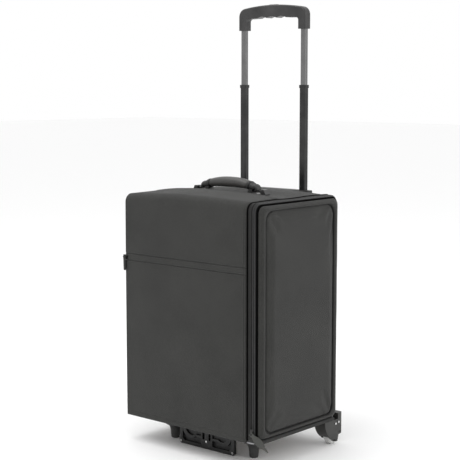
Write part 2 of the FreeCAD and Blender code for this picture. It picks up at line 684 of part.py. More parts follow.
h = Part.Wire([Part.Arc(coil_at(i), coil_at(i + 0.5), coil_at(i + 1)).toShape() for i in range(steps)])
pf = Part.Wire([Part.Circle(V(rad, 0, 0), coil_at(0.01) - coil_at(0), 0.45).toShape()])
sp.Shape = h.makePipeShell([pf], True, False)
sp.Placement = FreeCAD.Placement(V(0, rb.v, gh.v - 16.2), FreeCAD.Rotation())
node(sp, "button_spring")

# carriers in the tube ends hold one sideways lock pin each
car = []
for side, tag in ((-1, "left"), (1, "right")):
    cx = half * side
    c = prism("carrier_" + tag, "XY_Plane", lambda s: rounded(
        s, cx - d.tube_wide / 2 + 1.1, cx + d.tube_wide / 2 - 1.1, rb - d.tube_deep / 2 + 1.1, rb + d.tube_deep / 2 - 1.1, 1.6),
        d.tube_low - 3, d.tube_low + 14)
    cut_through(c, "YZ_Plane", lambda s: circle(s, rb, d.tube_low + 6, 2.05),
                cx - (10 if side < 0 else 2), cx + (2 if side < 0 else 10), "pin_way")
    car.append(c)
    it = NODES["inner_tube_" + tag]
    cut_through(it, "YZ_Plane", lambda s: circle(s, rb, d.tube_low + 6, 2.05),
                cx - (10 if side < 0 else -4), cx + (-4 if side < 0 else 10), "pin_hole")
    node(cyl(cx - d.tube_wide / 2 if side < 0 else cx + d.tube_wide / 2 - 6.5, rb, d.tube_low + 6, 2.0, 6.5, "X", "pin_" + tag),
         "lock_pin_" + tag)
node(group(car), "lock_pin_carriers")

# ------------------------------------------------------------------ wheels
wb, wz, ws = d.wheel_back, d.wheel_rad, d.wheel_side
hw = d.wheel_wide / 2
for side, tag in ((-1, "left"), (1, "right")):
    # hub: turned about its own axle, then set in place
    hub = spin("hub_" + tag, "XY_Plane", [
        (-hw + 0.5, d.axle_rad + d.axle_play), (hw - 0.5, d.axle_rad + d.axle_play), (hw - 0.5, 6.0), (hw - 3.5, 7.0),
        (hw - 3.5, 11.8), (hw - 1.0, 12.6), (hw - 1.0, d.tyre_inner), (-hw + 1.0, d.tyre_inner),
        (-hw + 1.0, 12.6), (-hw + 3.5, 11.8), (-hw + 3.5, 7.0), (-hw + 0.5, 6.0)], "H_Axis")
    put(hub, ws * side, wb, wz)
    node(hub, "wheel_hub_" + tag)
    ty = spin("tyre_" + tag, "XY_Plane", [
        (-hw, d.tyre_inner), (hw, d.tyre_inner), (hw, d.wheel_rad - 3.2), (hw - 3.2, d.wheel_rad, ),
        (-hw + 3.2, d.wheel_rad), (-hw, d.wheel_rad - 3.2)], "H_Axis")
    put(ty, ws * side, wb, wz)
    node(ty, "wheel_tyre_" + tag)

    # housing: two cheeks and an arch, under and behind the case's corner, with
    # its outer rear corner turned round like the case's own
    a, b = (d.cheek_inner, d.cheek_outer) if side > 0 else (-d.cheek_outer, -d.cheek_inner)
    gg = d.ground_gap - 0.2
    cb = d.case_back + 0.2
    hs = prism("housing_" + tag, "YZ_Plane", lambda s: outline(s, [
        (82, gg), (82.5, 50, (84, 44)), (106, 17, (109, 13.8)), (113, 13), (121, 13), (123, 7.5), (129, 7.5),
        (130.5, 13), (131.5, 22), (147, 23, (152, 26)), (155.4, 34), (155.4, 60, (153.4, 68)), (147, 71), (cb, 71), (cb, gg)]), a, b)
    cr = 18 * side
    o = d.cheek_outer * side
    plan = prism("housing_plan_" + tag, "XY_Plane", lambda s: outline(s, [
        (d.cheek_inner * side - side, 70), (o, 70), (o, 137.4, (o - cr * (1 - math.sqrt(0.5)), 137.4 + 18 * math.sqrt(0.5))), (o - cr, 155.4),
        (d.cheek_inner * side - side, 155.4)]), 0, 90)
    hs = common(hs, plan, "housing_round_" + tag)
    wide = hw + 0.8
    ia, ib = d.wheel_side * side - wide, d.wheel_side * side + wide
    hs = cut(hs, cyl(ia, wb, wz, d.arch_rad, 2 * wide, "X", "arch_" + tag), "arched_" + tag)
    hs = cut(hs, cyl(ws * side - (15.2 if side > 0 else 13.6), wb, wz, d.axle_rad + 0.02, 28.8, "X", "axle_way"), "bored_" + tag)
    # dark recess in the outer cheek, behind the leg that holds the axle
    rx = d.cheek_outer * side - (3.6 if side > 0 else -3.6)
    hs = cut(hs, box(min(rx.v, (o + 9 * side).v), max(rx.v, (o + 9 * side).v), 132.5, 149, 26.5, 43, "recess"), "recessed_" + tag)
    node(hs, "wheel_housing_" + tag)


def axle(s):
    """Pin with a flat head on the inner side; its outer end is blind in the cheek."""
    pin_a = ws * s - (14.9 if s > 0 else 13.4)
    head_a = ws * s - (16.6 if s > 0 else -14.54)
    return fuse([cyl(pin_a, wb, wz, d.axle_rad, 28.3, "X", "axle_pin"), cyl(head_a, wb, wz, 5.0, 2.06, "X", "axle_head")], "axle")


node(group([axle(-1), axle(1)]), "wheel_axles")
scr = []
for s in (-1, 1):
    for (yy, zz) in ((121, 49), (132, 51)):
        scr.append(cyl((d.cheek_outer + 0.02) * s if s > 0 else -(d.cheek_outer + 0.02) - 1.4, yy, zz, 2.6, 1.4, "X", "housing_screw"))

# ------------------------------------------------------------ stand and feet
sh, sf, sb, gg = d.stand_half, d.stand_front, d.stand_back, d.ground_gap
st = prism("stand", "XZ_Plane", lambda s: outline(s, [
    (-sh + 3, 0), (sh - 3, 0), (sh, 3), (sh, gg - 8, (sh + 2.3, gg - 2.3)), (sh + 8, gg), (-sh - 8, gg, (-sh - 2.3, gg - 2.3)),
    (-sh, gg - 8), (-sh, 3)]), -sf, -sb)
for s in (-1, 1):
    def rib_pocket(sk, s=s):
        outline(sk, [(s * 17, 8), (s * 66, 8), (s * 72, 14), (s * 72, 39, (s * 60, 18.5)), (s * 34, 22.5), (s * 17, 22)])
    cut_through(st, "XZ_Plane", rib_pocket, -sf - 1, -sf + 5.5, "pocket_%d" % (s + 1))

    def high_pocket(sk, s=s):
        outline(sk, [(s * 17, 46), (s * 17, 27), (s * 34, 27.5, (s * 52, 25)), (s * 64, 42), (s * 62, 46)])
    cut_through(st, "XZ_Plane", high_pocket, -sf - 1, -sf + 4.5, "high_%d" % (s + 1))
    cut_through(st, "XZ_Plane", lambda sk, s=s: rounded(sk, s * 9 - 3.2, s * 9 + 3.2, 20, 36, 3.0), -sf - 1, -sf + 5.5, "oval_%d" % (s + 1))
node(st, "stand_plate")
stand_scr = [cyl(x, -sf - 1.2, z, 2.6, 1.19, "Y", "stand_screw") for x, z in ((-76.2, 45), (76.2, 45), (-76.2, 6), (76.2, 6), (0, 17))]
node(group(rail_scr + scr + stand_scr), "base_screws")
for side, tag in ((-1, "left"), (1, "right")):
    ft = spin("foot_" + tag, "XZ_Plane", [
        (0, 0), (d.foot_low_rad - 1.5, 0), (d.foot_low_rad, 1.5), (d.foot_low_rad + 2.4, 21, (d.foot_low_rad + 5.2, 28)),
        (d.foot_top_rad, 33), (d.foot_top_rad, gg - 0.1), (0, gg - 0.1)], "V_Axis")
    put(ft, d.foot_side * side, -d.foot_fore, 0)
    node(ft, "foot_" + tag)

# ------------------------------------------------------------ carry handle
hx, hy, hz = d.handle_side, -d.handle_fore, d.handle_pin_z
mounts, pins = [], []
for side in (-1, 1):
    cx = hx * side
    m = prism("mount_%d" % (side + 1), "XZ_Plane", lambda s: outline(s, [
        (cx - 25.5, hz - 8.0), (cx + 25.5, hz - 8.0), (cx + 25.5, hz - 6.2), (cx + 21, hz + 3.6), (cx + 12, hz + 3.6), (cx + 12, hz - 5.6),
        (cx - 12, hz - 5.6), (cx - 12, hz + 3.6), (cx - 21, hz + 3.6), (cx - 25.5, hz - 6.2)]), hy - 8, hy + 8)
    cut_through(m, "YZ_Plane", lambda s: circle(s, hy, hz, d.handle_pin_rad + 0.02), cx - 18, cx + 18, "pin_hole")
    mounts.append(m)
    pins.append(cyl(cx - 17.5, hy, hz, d.handle_pin_rad, 35, "X", "handle_pin"))
node(group(mounts), "handle_mounts")
node(group(pins), "handle_pins")


def strap_line(s):
    t = 3.0
    o, z = hx + 4.5, hz
    pts = [(-o, z), (-o, z + 11), (-o + 6, z + 15.4), (-52, z + 18.2, (0, z + 22.2)), (52, z + 18.2), (o - 6, z + 15.4), (o, z + 11), (o, z),
           (o - t, z), (o - t, z + 9.8), (o - 7.2, z + 12.4), (52, z + 15.2, (0, z + 19.2)), (-52, z + 15.2), (-o + 7.2, z + 12.4), (-o + t, z + 9.8), (-o + t, z)]
    outline(s, pts)


sl = prism("strap", "XZ_Plane", strap_line, hy - 8, hy + 8)
# rolled eyes round the pins
eyes = [cyl(hx * s - 10, hy, hz, 5.2, 20, "X", "eye") for s in (-1, 1)]
sl = fuse([sl] + eyes, "strap_eyes")
for s in (-1, 1):
    sl = cut(sl, cyl(hx * s - 13, hy, hz, d.handle_pin_rad + 0.06, 26, "X", "eye_bore"), "strap_bored")
node(sl, "carry_handle_strap")
gr = prism("hand_grip", "XZ_Plane", lambda s: outline(s, [
    (-56, hz + 7.6, (0, hz + 4.6)), (56, hz + 7.6), (60, hz + 13), (56, hz + 21.8, (0, hz + 27.2)), (-56, hz + 21.8), (-60, hz + 13)]), hy - 12.5, hy + 12.5)
fillet(gr, lambda e: e.BoundBox.YLength < 1e-4 and e.BoundBox.XLength > 50, 4.0, "soft")
gr = cut(gr, prism("strap_way", "XZ_Plane", strap_line, hy - 8, hy + 8), "grip_slot")
node(gr, "carry_handle_grip")

# ---------------------------------------------------------------- zip pulls
# pocket slider and its hanging pull
px_, pz_, py_ = -(d.pocket_left - 8), band_mid, -(d.case_front + 6.6)
ps = fuse([
    box(px_ - 6.5, px_ + 6.5, -(d.case_front + 4.2), -(d.case_front + 2.9), pz_ - 4.2, pz_ + 4.2, "slider_plate"),
    box(px_ - 1.3, px_ + 1.3, py_ - 1.2, -(d.case_front + 4.0), pz_ - 1.2, pz_ + 1.2, "slider_post"),
    cyl(px_ - 4.4, py_, pz_, 0.9, 8.8, "X", "slider_pin")], "pocket_slider")
node(ps, "pocket_zip_slider")


def fork_pull(length, w, t, bore, name, leaf):
    """A pull with two eyes; its pivot is the origin and it hangs along -Z,
    with its flat face across Y."""
    parts = []
    for s in (-1, 1):
        parts.append(cyl(s * 2.9 - 1.0, 0, 0, 1.8, 2.0, "X", name + "_eye"))
    parts.append(box(-3.9, 3.9, -t / 2, t / 2, -6.0, -3.4, name + "_bridge"))
    parts.append(box(-3.9, -1.9, -t / 2, t / 2, -4, 0, name + "_arm"))
    parts.append(box(1.9, 3.9, -t / 2, t / 2, -4, 0, name + "_arm"))
    blade = prism(name + "_blade", "XZ_Plane", leaf, -t / 2, t / 2)
    parts.append(blade)
    f = fuse(parts, name + "_solid")
    for s in (-1, 1):
        f = cut(f, cyl(s * 2.9 - 3.0, 0, 0, bore, 6.0, "X", name + "_bore"), name + "_bored")
    return f


pp = fork_pull(30, 7, 1.7, 0.95, "pocket_pull", lambda s: outline(s, [
    (-3.6, -5.2), (3.6, -5.2), (3.0, -27, (0, -31)), (-3.0, -27)]))
put(pp, px_, py_, pz_)
node(pp, "pocket_zip_pull")

# main slider: sits at the low end of the door's zip, next to the corner
mx, my, mz = 185.6, -162.2, 84.0
along = V(21.8, 30.7, -42).normalize()              # from the pivot to the pull's tip
pin_dir = (V(0, 0, 1) - along * along.z).normalize()  # the pin's own line
out_dir = V(30.7, -21.8, 0).normalize()
face_n = V(0.308, -0.951, 0).normalize()            # the case's surface at the slider
face_t = V(0.951, 0.308, 0)


def frame_rot(ex, ey, ez):
    m = FreeCAD.Matrix(ex.x, ey.x, ez.x, 0, ex.y, ey.y, ez.y, 0, ex.z, ey.z, ez.z, 0, 0, 0, 0, 1)
    return FreeCAD.Rotation(m)


plate = box(-4.0, 4.0, -1.0, 1.0, -4.5, 8.0, "main_plate")
plate.Placement = FreeCAD.Placement(V(mx, my, mz) - face_n * 7.2, frame_rot(face_t, face_n * -1, V(0, 0, 1))).multiply(
    FreeCAD.Placement(V(-4.0, -1.0, -4.5), FreeCAD.Rotation()))
post = doc.addObject("Part::Cylinder", "main_post")
post.Radius, post.Height = 1.0, 7.2
post.Placement = FreeCAD.Placement(V(mx, my, mz) - face_n * 7.2, FreeCAD.Rotation(V(0, 0, 1), face_n))
mpin = doc.addObject("Part::Cylinder", "main_pin")
mpin.Radius, mpin.Height = 0.9, 8.4
mpin.Placement = FreeCAD.Placement(V(mx, my, mz) - pin_dir * 4.2, FreeCAD.Rotation(V(0, 0, 1), pin_dir))
node(fuse([plate, post, mpin], "main_slider"), "zip_slider")
mp = fork_pull(56, 11, 1.8, 0.95, "main_pull", lambda s: outline(s, [
    (-3.2, -5.2), (3.2, -5.2), (3.6, -9, (7.7, -26)), (3.2, -42), (1.2, -55.4, (0, -56.4)), (-1.2, -55.4), (-3.2, -42, (-7.7, -26)), (-3.6, -9)]))
mp.Placement = FreeCAD.Placement(V(mx, my, mz), frame_rot(pin_dir, out_dir * -1, along * -1))
node(mp, "zip_pull")

# ------------------------------------------------------------ check and write
doc.recompute()
bad = [(o.Label, [p.Name for p in o.InList], o.getStatusString() if hasattr(o, "getStatusString") else "")
       for o in doc.Objects if "Invalid" in o.State or "Error" in o.State]
if bad:
    raise RuntimeError("failed objects: %s" % bad)
total = 0.0
for name, obj in NODES.items():
    shp = obj.Shape
    if shp.isNull() or not shp.isValid() or not shp.Solids:
        raise RuntimeError("%s has no valid shape" % name)
    total += shp.Volume
for name, obj in NODES.items():
    obj.Shape.exportStep("parts/%s.step" % name)
    bb = obj.Shape.BoundBox
    print("%-22s solids %d  vol %9.1f  x %.1f..%.1f  y %.1f..%.1f  z %.1f..%.1f" % (
        name, len(obj.Shape.Solids), obj.Shape.Volume, bb.XMin, bb.XMax, bb.YMin, bb.YMax, bb.ZMin, bb.ZMax))
print(len(NODES), "nodes")
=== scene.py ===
import bpy, bmesh, math
from mathutils import Vector, Matrix, noise
from mathutils.bvhtree import BVHTree


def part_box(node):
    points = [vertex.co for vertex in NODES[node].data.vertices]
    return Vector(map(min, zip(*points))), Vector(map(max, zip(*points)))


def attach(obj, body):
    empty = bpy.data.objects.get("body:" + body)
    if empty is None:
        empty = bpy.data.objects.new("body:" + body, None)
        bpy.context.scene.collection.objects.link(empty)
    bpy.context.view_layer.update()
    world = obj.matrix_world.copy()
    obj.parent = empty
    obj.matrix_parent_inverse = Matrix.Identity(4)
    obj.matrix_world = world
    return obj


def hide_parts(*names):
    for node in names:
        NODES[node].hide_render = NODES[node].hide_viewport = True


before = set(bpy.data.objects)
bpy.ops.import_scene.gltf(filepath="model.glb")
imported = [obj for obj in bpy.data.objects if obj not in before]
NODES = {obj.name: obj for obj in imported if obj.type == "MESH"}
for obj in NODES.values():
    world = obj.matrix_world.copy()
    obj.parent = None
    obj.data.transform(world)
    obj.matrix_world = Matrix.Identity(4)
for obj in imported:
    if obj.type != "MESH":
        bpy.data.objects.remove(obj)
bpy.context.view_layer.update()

MM = 0.001
sc = bpy.context.scene

# ------------------------------------------------------------------ shaders


def mat_new(name):
    m = bpy.data.materials.new(name)
    m.use_nodes = True
    nt = m.node_tree
    for n in list(nt.nodes):
        nt.nodes.remove(n)
    out = nt.nodes.new("ShaderNodeOutputMaterial")
    b = nt.nodes.new("ShaderNodeBsdfPrincipled")
    nt.links.new(b.outputs[0], out.inputs[0])
    return m, nt, b


def N(nt, kind, **kw):
    n = nt.nodes.new(kind)
    for k, v in kw.items():
        setattr(n, k, v)
    return n


def math_node(nt, op, a, b=None, clamp=False):
    n = N(nt, "ShaderNodeMath", operation=op, use_clamp=clamp)
    for i, v in enumerate((a, b)):
        if v is None:
            continue
        if isinstance(v, (int, float)):
            n.inputs[i].default_value = v
        else:
            nt.links.new(v, n.inputs[i])
    return n.outputs[0]


def ramp(nt, fac, stops):
    r = N(nt, "ShaderNodeValToRGB")
    els = r.color_ramp.elements
    while len(els) < len(stops):
        els.new(0.5)
    for e, (p, c) in zip(els, stops):
        e.position = p
        e.color = (c[0], c[1], c[2], 1)
    nt.links.new(fac, r.inputs[0])
    return r.outputs[0]


def noise_tex(nt, vec, scale, detail=3, rough=0.55):
    n = N(nt, "ShaderNodeTexNoise")
    n.inputs["Scale"].default_value = scale
    n.inputs["Detail"].default_value = detail
    n.inputs["Roughness"].default_value = rough
    if vec is not None:
        nt.links.new(vec, n.inputs["Vector"])
    return n.outputs["Fac"]


def bump(nt, b, height, dist, strength=1.0, prev=None):
    n = N(nt, "ShaderNodeBump")
    n.inputs["Strength"].default_value = strength
    n.inputs["Distance"].default_value = dist
    nt.links.new(height, n.inputs["Height"])
    if prev is not None:
        nt.links.new(prev, n.inputs["Normal"])
    nt.links.new(n.outputs[0], b.inputs["Normal"])
    return n.outputs[0]


def obj_coord(nt):
    return N(nt, "ShaderNodeTexCoord").outputs["Object"]


def weave(name, base, light, period=0.0011, rough=0.74, sheen=0.10, uv=True, axes=("Y", "Z"), depth=0.00022, spots=0.12):
    """Plain-woven nylon: threads over and under, small shade changes from yarn to yarn; the crest of each thread is
    also coloured lighter, a painted highlight.
    """
    m, nt, b = mat_new(name)
    tc = N(nt, "ShaderNodeTexCoord")
    sep = N(nt, "ShaderNodeSeparateXYZ")
    if uv:
        nt.links.new(tc.outputs["UV"], sep.inputs[0])
        u, v = sep.outputs[0], sep.outputs[1]
    else:
        nt.links.new(tc.outputs["Object"], sep.inputs[0])
        idx = {"X": 0, "Y": 1, "Z": 2}
        u, v = sep.outputs[idx[axes[0]]], sep.outputs[idx[axes[1]]]
    k = 2 * math.pi / period
    su = math_node(nt, "SINE", math_node(nt, "MULTIPLY", u, k))
    sv = math_node(nt, "SINE", math_node(nt, "MULTIPLY", v, k))
    prod = math_node(nt, "MULTIPLY", su, sv)
    hu = math_node(nt, "ABSOLUTE", su)
    hv = math_node(nt, "ABSOLUTE", sv)
    over = math_node(nt, "MULTIPLY_ADD", prod, 0.5)
    over.node.inputs[2].default_value = 0.5
    thread = math_node(nt, "ADD", math_node(nt, "MULTIPLY", over, hu), math_node(nt, "MULTIPLY", math_node(nt, "SUBTRACT", 1.0, over), hv))
    co = tc.outputs["Object"]
    big = noise_tex(nt, co, 9.0, 3)
    yarn = noise_tex(nt, co, 300.0, 2, 0.6)
    # colour: the lighter thread crests are a painted highlight; the yarn noise and the big patches are random tone
    f = math_node(nt, "ADD", math_node(nt, "MULTIPLY", thread, 0.45), math_node(nt, "MULTIPLY", yarn, 0.55))
    f = math_node(nt, "ADD", f, math_node(nt, "MULTIPLY", math_node(nt, "SUBTRACT", big, 0.5), spots * 3), True)
    col = ramp(nt, f, [(0.26, base), (0.76, light)])
    nt.links.new(col, b.inputs["Base Color"])
    r = math_node(nt, "MULTIPLY_ADD", yarn, 0.18)
    r.node.inputs[2].default_value = rough - 0.09
    nt.links.new(r, b.inputs["Roughness"])
    b.inputs["Specular IOR Level"].default_value = 0.35
    b.inputs["Sheen Weight"].default_value = sheen
    b.inputs["Sheen Roughness"].default_value = 0.45
    b.inputs["Sheen Tint"].default_value = (0.75, 0.76, 0.78, 1)
    p = bump(nt, b, thread, depth, 0.9)
    bump(nt, b, big, 0.0012, 0.35, p)
    return m


def tape_mat(name, base, light, rib=0.0016, uv=True):
    """Woven zip tape or binding: fine ribs across its length."""
    m, nt, b = mat_new(name)
    tc = N(nt, "ShaderNodeTexCoord")
    sep = N(nt, "ShaderNodeSeparateXYZ")
    nt.links.new(tc.outputs["UV"], sep.inputs[0])
    s = math_node(nt, "SINE", math_node(nt, "MULTIPLY", sep.outputs[0], 2 * math.pi / rib))
    t = math_node(nt, "SINE", math_node(nt, "MULTIPLY", sep.outputs[1], 2 * math.pi / (rib * 0.6)))
    h = math_node(nt, "MULTIPLY_ADD", math_node(nt, "ADD", s, math_node(nt, "MULTIPLY", t, 0.5)), 0.33)
    h.node.inputs[2].default_value = 0.5
    n1 = noise_tex(nt, tc.outputs["Object"], 60.0, 3)
    f = math_node(nt, "ADD", math_node(nt, "MULTIPLY", h, 0.5), math_node(nt, "MULTIPLY", n1, 0.5), True)
    nt.links.new(ramp(nt, f, [(0.2, base), (0.8, light)]), b.inputs["Base Color"])
    b.inputs["Roughness"].default_value = 0.8
    b.inputs["Sheen Weight"].default_value = 0.04
    b.inputs["Specular IOR Level"].default_value = 0.25
    b.inputs["Sheen Roughness"].default_value = 0.5
    bump(nt, b, h, 0.00025, 0.8)
    return m


def plastic(name, base, light, rough=0.5, grain=900.0, depth=0.00008, spec=0.45, coat=0.0):
    """Moulded plastic: fine spark-eroded grain, faint flow marks and rub marks."""
    m, nt, b = mat_new(name)
    co = obj_coord(nt)
    g = noise_tex(nt, co, grain, 2, 0.7)
    flow = noise_tex(nt, co, 22.0, 4)
    nt.links.new(ramp(nt, flow, [(0.3, base), (0.75, light)]), b.inputs["Base Color"])
    r = math_node(nt, "MULTIPLY_ADD", flow, 0.22)
    r.node.inputs[2].default_value = rough - 0.11
    nt.links.new(r, b.inputs["Roughness"])
    b.inputs["Specular IOR Level"].default_value = spec
    b.inputs["Coat Weight"].default_value = coat
    b.inputs["Coat Roughness"].default_value = 0.3
    p = bump(nt, b, g, depth, 0.7)
    bump(nt, b, flow, 0.0004, 0.25, p)
    return m


def metal(name, base, light, rough=0.32, axis=2, stretch=60.0, aniso=0.4):
    """Drawn or brushed metal: fine lines along one axis, light wear."""
    m, nt, b = mat_new(name)
    co = obj_coord(nt)
    mp = N(nt, "ShaderNodeMapping")
    s = [stretch * 40] * 3
    s[axis] = stretch * 0.6
    mp.inputs["Scale"].default_value = s
    nt.links.new(co, mp.inputs[0])
    lines = noise_tex(nt, mp.outputs[0], 1.0, 3, 0.6)
    wear = noise_tex(nt, co, 35.0, 4)
    f = math_node(nt, "ADD", math_node(nt, "MULTIPLY", lines, 0.6), math_node(nt, "MULTIPLY", wear, 0.4))
    nt.links.new(ramp(nt, f, [(0.3, base), (0.7, light)]), b.inputs["Base Color"])
    b.inputs["Metallic"].default_value = 1.0
    r = math_node(nt, "MULTIPLY_ADD", f, 0.2)
    r.node.inputs[2].default_value = rough - 0.1
    nt.links.new(r, b.inputs["Roughness"])
    b.inputs["Anisotropic"].default_value = aniso
    bump(nt, b, lines, 0.00004, 0.6)
    return m


def leather(name, base, light, rough=0.42):
    """Grained leather-look cover: pebbled cells, fine creases."""
    m, nt, b = mat_new(name)
    co = obj_coord(nt)
    v = N(nt, "ShaderNodeTexVoronoi", feature="DISTANCE_TO_EDGE")
    v.inputs["Scale"].default_value = 520.0
    nt.links.new(co, v.inputs["Vector"])
    cell = math_node(nt, "MULTIPLY", v.outputs["Distance"], 3.2, True)
    n1 = noise_tex(nt, co, 130.0, 4)
    n2 = noise_tex(nt, co, 18.0, 3)
    f = math_node(nt, "ADD", math_node(nt, "MULTIPLY", cell, 0.35), math_node(nt, "MULTIPLY", n2, 0.65), True)
    nt.links.new(ramp(nt, f, [(0.2, base), (0.85, light)]), b.inputs["Base Color"])
    r = math_node(nt, "MULTIPLY_ADD", n1, 0.2)
    r.node.inputs[2].default_value = rough - 0.1
    nt.links.new(r, b.inputs["Roughness"])
    b.inputs["Specular IOR Level"].default_value = 0.5
    p = bump(nt, b, cell, 0.00012, 0.8)
    bump(nt, b, n1, 0.0003, 0.4, p)
    return m


def board_mat(name, base, light):
    m, nt, b = mat_new(name)
    co = obj_coord(nt)
    fib = noise_tex(nt, co, 260.0, 5, 0.7)
    big = noise_tex(nt, co, 12.0, 3)
    f = math_node(nt, "ADD", math_node(nt, "MULTIPLY", fib, 0.6), math_node(nt, "MULTIPLY", big, 0.4))
    nt.links.new(ramp(nt, f, [(0.3, base), (0.7, light)]), b.inputs["Base Color"])
    b.inputs["Roughness"].default_value = 0.85
    bump(nt, b, fib, 0.0002, 0.6)
    return m


def coil_mat(name, base, light, pitch=0.0014):
    m, nt, b = mat_new(name)
    tc = N(nt, "ShaderNodeTexCoord")
    sep = N(nt, "ShaderNodeSeparateXYZ")
    nt.links.new(tc.outputs["UV"], sep.inputs[0])
    s = math_node(nt, "SINE", math_node(nt, "MULTIPLY", sep.outputs[0], 2 * math.pi / pitch))
    h = math_node(nt, "MULTIPLY_ADD", s, 0.5)
    h.node.inputs[2].default_value = 0.5
    nt.links.new(ramp(nt, h, [(0.1, base), (0.9, light)]), b.inputs["Base Color"])
    b.inputs["Roughness"].default_value = 0.38
    bump(nt, b, h, 0.0005, 1.0)
    return m


FAB_D, FAB_L = (0.0035, 0.0035, 0.0031), (0.032, 0.032, 0.0290)
M = {
    "woven": weave("woven_nylon", FAB_D, FAB_L),
    "woven_yz": weave("woven_nylon_side", FAB_D, FAB_L, uv=False, axes=("Y", "Z")),
    "woven_xz": weave("woven_nylon_back", FAB_D, FAB_L, uv=False, axes=("X", "Z")),
    "lining": weave("lining_cloth", (0.012, 0.012, 0.013), (0.03, 0.03, 0.032), period=0.0006, rough=0.62, sheen=0.15, depth=0.0001),
    "tape": tape_mat("zip_tape_cloth", (0.0045, 0.0045, 0.0043), (0.016, 0.016, 0.0155)),
    "binding": tape_mat("binding_cloth", (0.012, 0.012, 0.0115), (0.040, 0.040, 0.038), 0.0022),
    # seam: near-black matt plastic used only as painted shade, the shadow in the narrow gaps along the zip
    "seam": plastic("painted_groove_shade", (0.0006, 0.0006, 0.0006), (0.0016, 0.0016, 0.0016), 0.95, 900, 0.00005, 0.04),
    # piping: near-black cloth, partly the real piping and partly painted shade for the groove between rim and padded
    # panel
    "piping": tape_mat("piping_darkened_as_groove_shade", (0.002, 0.002, 0.002), (0.009, 0.009, 0.0088), 0.002),
    "thread": plastic("stitch_thread", (0.035, 0.035, 0.035), (0.06, 0.06, 0.06), 0.6, 1500, 0.00005),
    "coil": coil_mat("zip_coil_nylon", (0.004, 0.004, 0.004), (0.03, 0.03, 0.031)),
    "black": plastic("black_moulded", (0.004, 0.004, 0.004), (0.013, 0.013, 0.013), 0.44),
    "housing": plastic("housing_moulded", (0.016, 0.016, 0.015), (0.040, 0.039, 0.036), 0.48),
    "foot": plastic("foot_moulded", (0.018, 0.018, 0.018), (0.038, 0.038, 0.037), 0.5),
    "grip": plastic("grip_moulded", (0.009, 0.009, 0.009), (0.034, 0.033, 0.033), 0.34, 1100, 0.00006, 0.5),
    "button": plastic("button_moulded", (0.10, 0.10, 0.10), (0.17, 0.17, 0.17), 0.38, 1100, 0.00005, 0.5),
    "pullmat": plastic("pull_rubber", (0.032, 0.033, 0.030), (0.075, 0.076, 0.070), 0.62, 700, 0.00012, 0.35),
    "tyre": plastic("wheel_tyre_pu", (0.52, 0.52, 0.51), (0.66, 0.66, 0.65), 0.42, 300, 0.00006, 0.5),
    "hub": plastic("wheel_hub_moulded", (0.05, 0.05, 0.05), (0.10, 0.10, 0.10), 0.45),
    "foam": plastic("foam_cells", (0.22, 0.22, 0.23), (0.34, 0.34, 0.35), 0.9, 260, 0.0008, 0.1),
    "rail": metal("rail_aluminium", (0.15, 0.15, 0.155), (0.26, 0.26, 0.265), 0.36),
    "mid": metal("middle_tube_aluminium", (0.030, 0.030, 0.030), (0.070, 0.070, 0.070), 0.34),
    "tube": metal("inner_tube_aluminium", (0.12, 0.12, 0.12), (0.22, 0.22, 0.22), 0.36),
    "steel": metal("steel_pin", (0.45, 0.45, 0.45), (0.72, 0.72, 0.71), 0.25, 0, 30.0, 0.2),
    "pin": metal("handle_pin_steel", (0.16, 0.16, 0.16), (0.30, 0.30, 0.30), 0.3, 0, 30.0, 0.2),
    "mount": metal("mount_metal", (0.05, 0.05, 0.05), (0.13, 0.13, 0.13), 0.34, 0, 60.0, 0.3),
    "zipmetal": metal("zip_metal", (0.025, 0.025, 0.025), (0.075, 0.075, 0.073), 0.34, 2, 60.0, 0.2),
    "leather": leather("grip_leather", (0.030, 0.029, 0.028), (0.082, 0.080, 0.076), 0.36),
    "endloop": leather("handle_end_loops", (0.012, 0.012, 0.012), (0.034, 0.034, 0.033), 0.45),
    "endcap": leather("handle_end_leather", (0.09, 0.09, 0.086), (0.19, 0.188, 0.18), 0.42),
    "board": board_mat("fibre_board", (0.10, 0.085, 0.07), (0.20, 0.17, 0.14)),
}

# CAD nodes that stay: each gets its own finish
FINISH = {
    "front_board": "board", "rear_board": "board", "left_board": "board", "top_board": "board", "bottom_board": "board",
    "corner_stiffeners": "black", "opening_frame": "black", "foam_padding": "foam", "door_board": "board",
    "rail_left": "rail", "rail_right": "rail", "rail_bezel": "black", "rail_foot_bracket": "black",
    "wheel_housing_left": "housing", "wheel_housing_right": "housing", "wheel_axles": "steel", "base_screws": "steel",
    "stand_plate": "black", "foot_left": "foot", "foot_right": "foot", "handle_mounts": "mount", "handle_pins": "pin",
    "mid_tube_left": "mid", "mid_tube_right": "mid", "mid_tube_bushes": "black",
    "inner_tube_left": "tube", "inner_tube_right": "tube", "grip_front_shell": "grip", "grip_rear_shell": "grip",
    "lock_pin_carriers": "black", "button_spring": "steel", "release_button": "button", "push_rods": "black",
    "lock_pin_left": "steel", "lock_pin_right": "steel", "zip_slider": "zipmetal", "zip_pull": "pullmat",
    "pocket_zip_slider": "zipmetal", "pocket_zip_pull": "zipmetal",
    "wheel_hub_left": "hub", "wheel_hub_right": "hub", "wheel_tyre_left": "tyre", "wheel_tyre_right": "tyre",
}
for n, o in NODES.items():
    key = FINISH.get(n, "woven_yz")
    o.data.materials.clear()
    o.data.materials.append(M[key])

# ------------------------------------------------------------- mesh helpers


def mesh_obj(name, verts, faces, mat, body, uvs=None, smooth=True):
    me = bpy.data.meshes.new(name)
    me.from_pydata([(x * MM, y * MM, z * MM) for x, y, z in verts], [], faces)
    me.materials.append(M[mat])
    if uvs is not None:
        lay = me.uv_layers.new(name="UVMap")
        for poly in me.polygons:
            for li in poly.loop_indices:
                u, v = uvs[me.loops[li].vertex_index]
                lay.data[li].uv = (u * MM, v * MM)
    for p in me.polygons:
        p.use_smooth = smooth
    me.validate()
    o = bpy.data.objects.new(name, me)
    sc.collection.objects.link(o)
    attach(o, body)
    return o


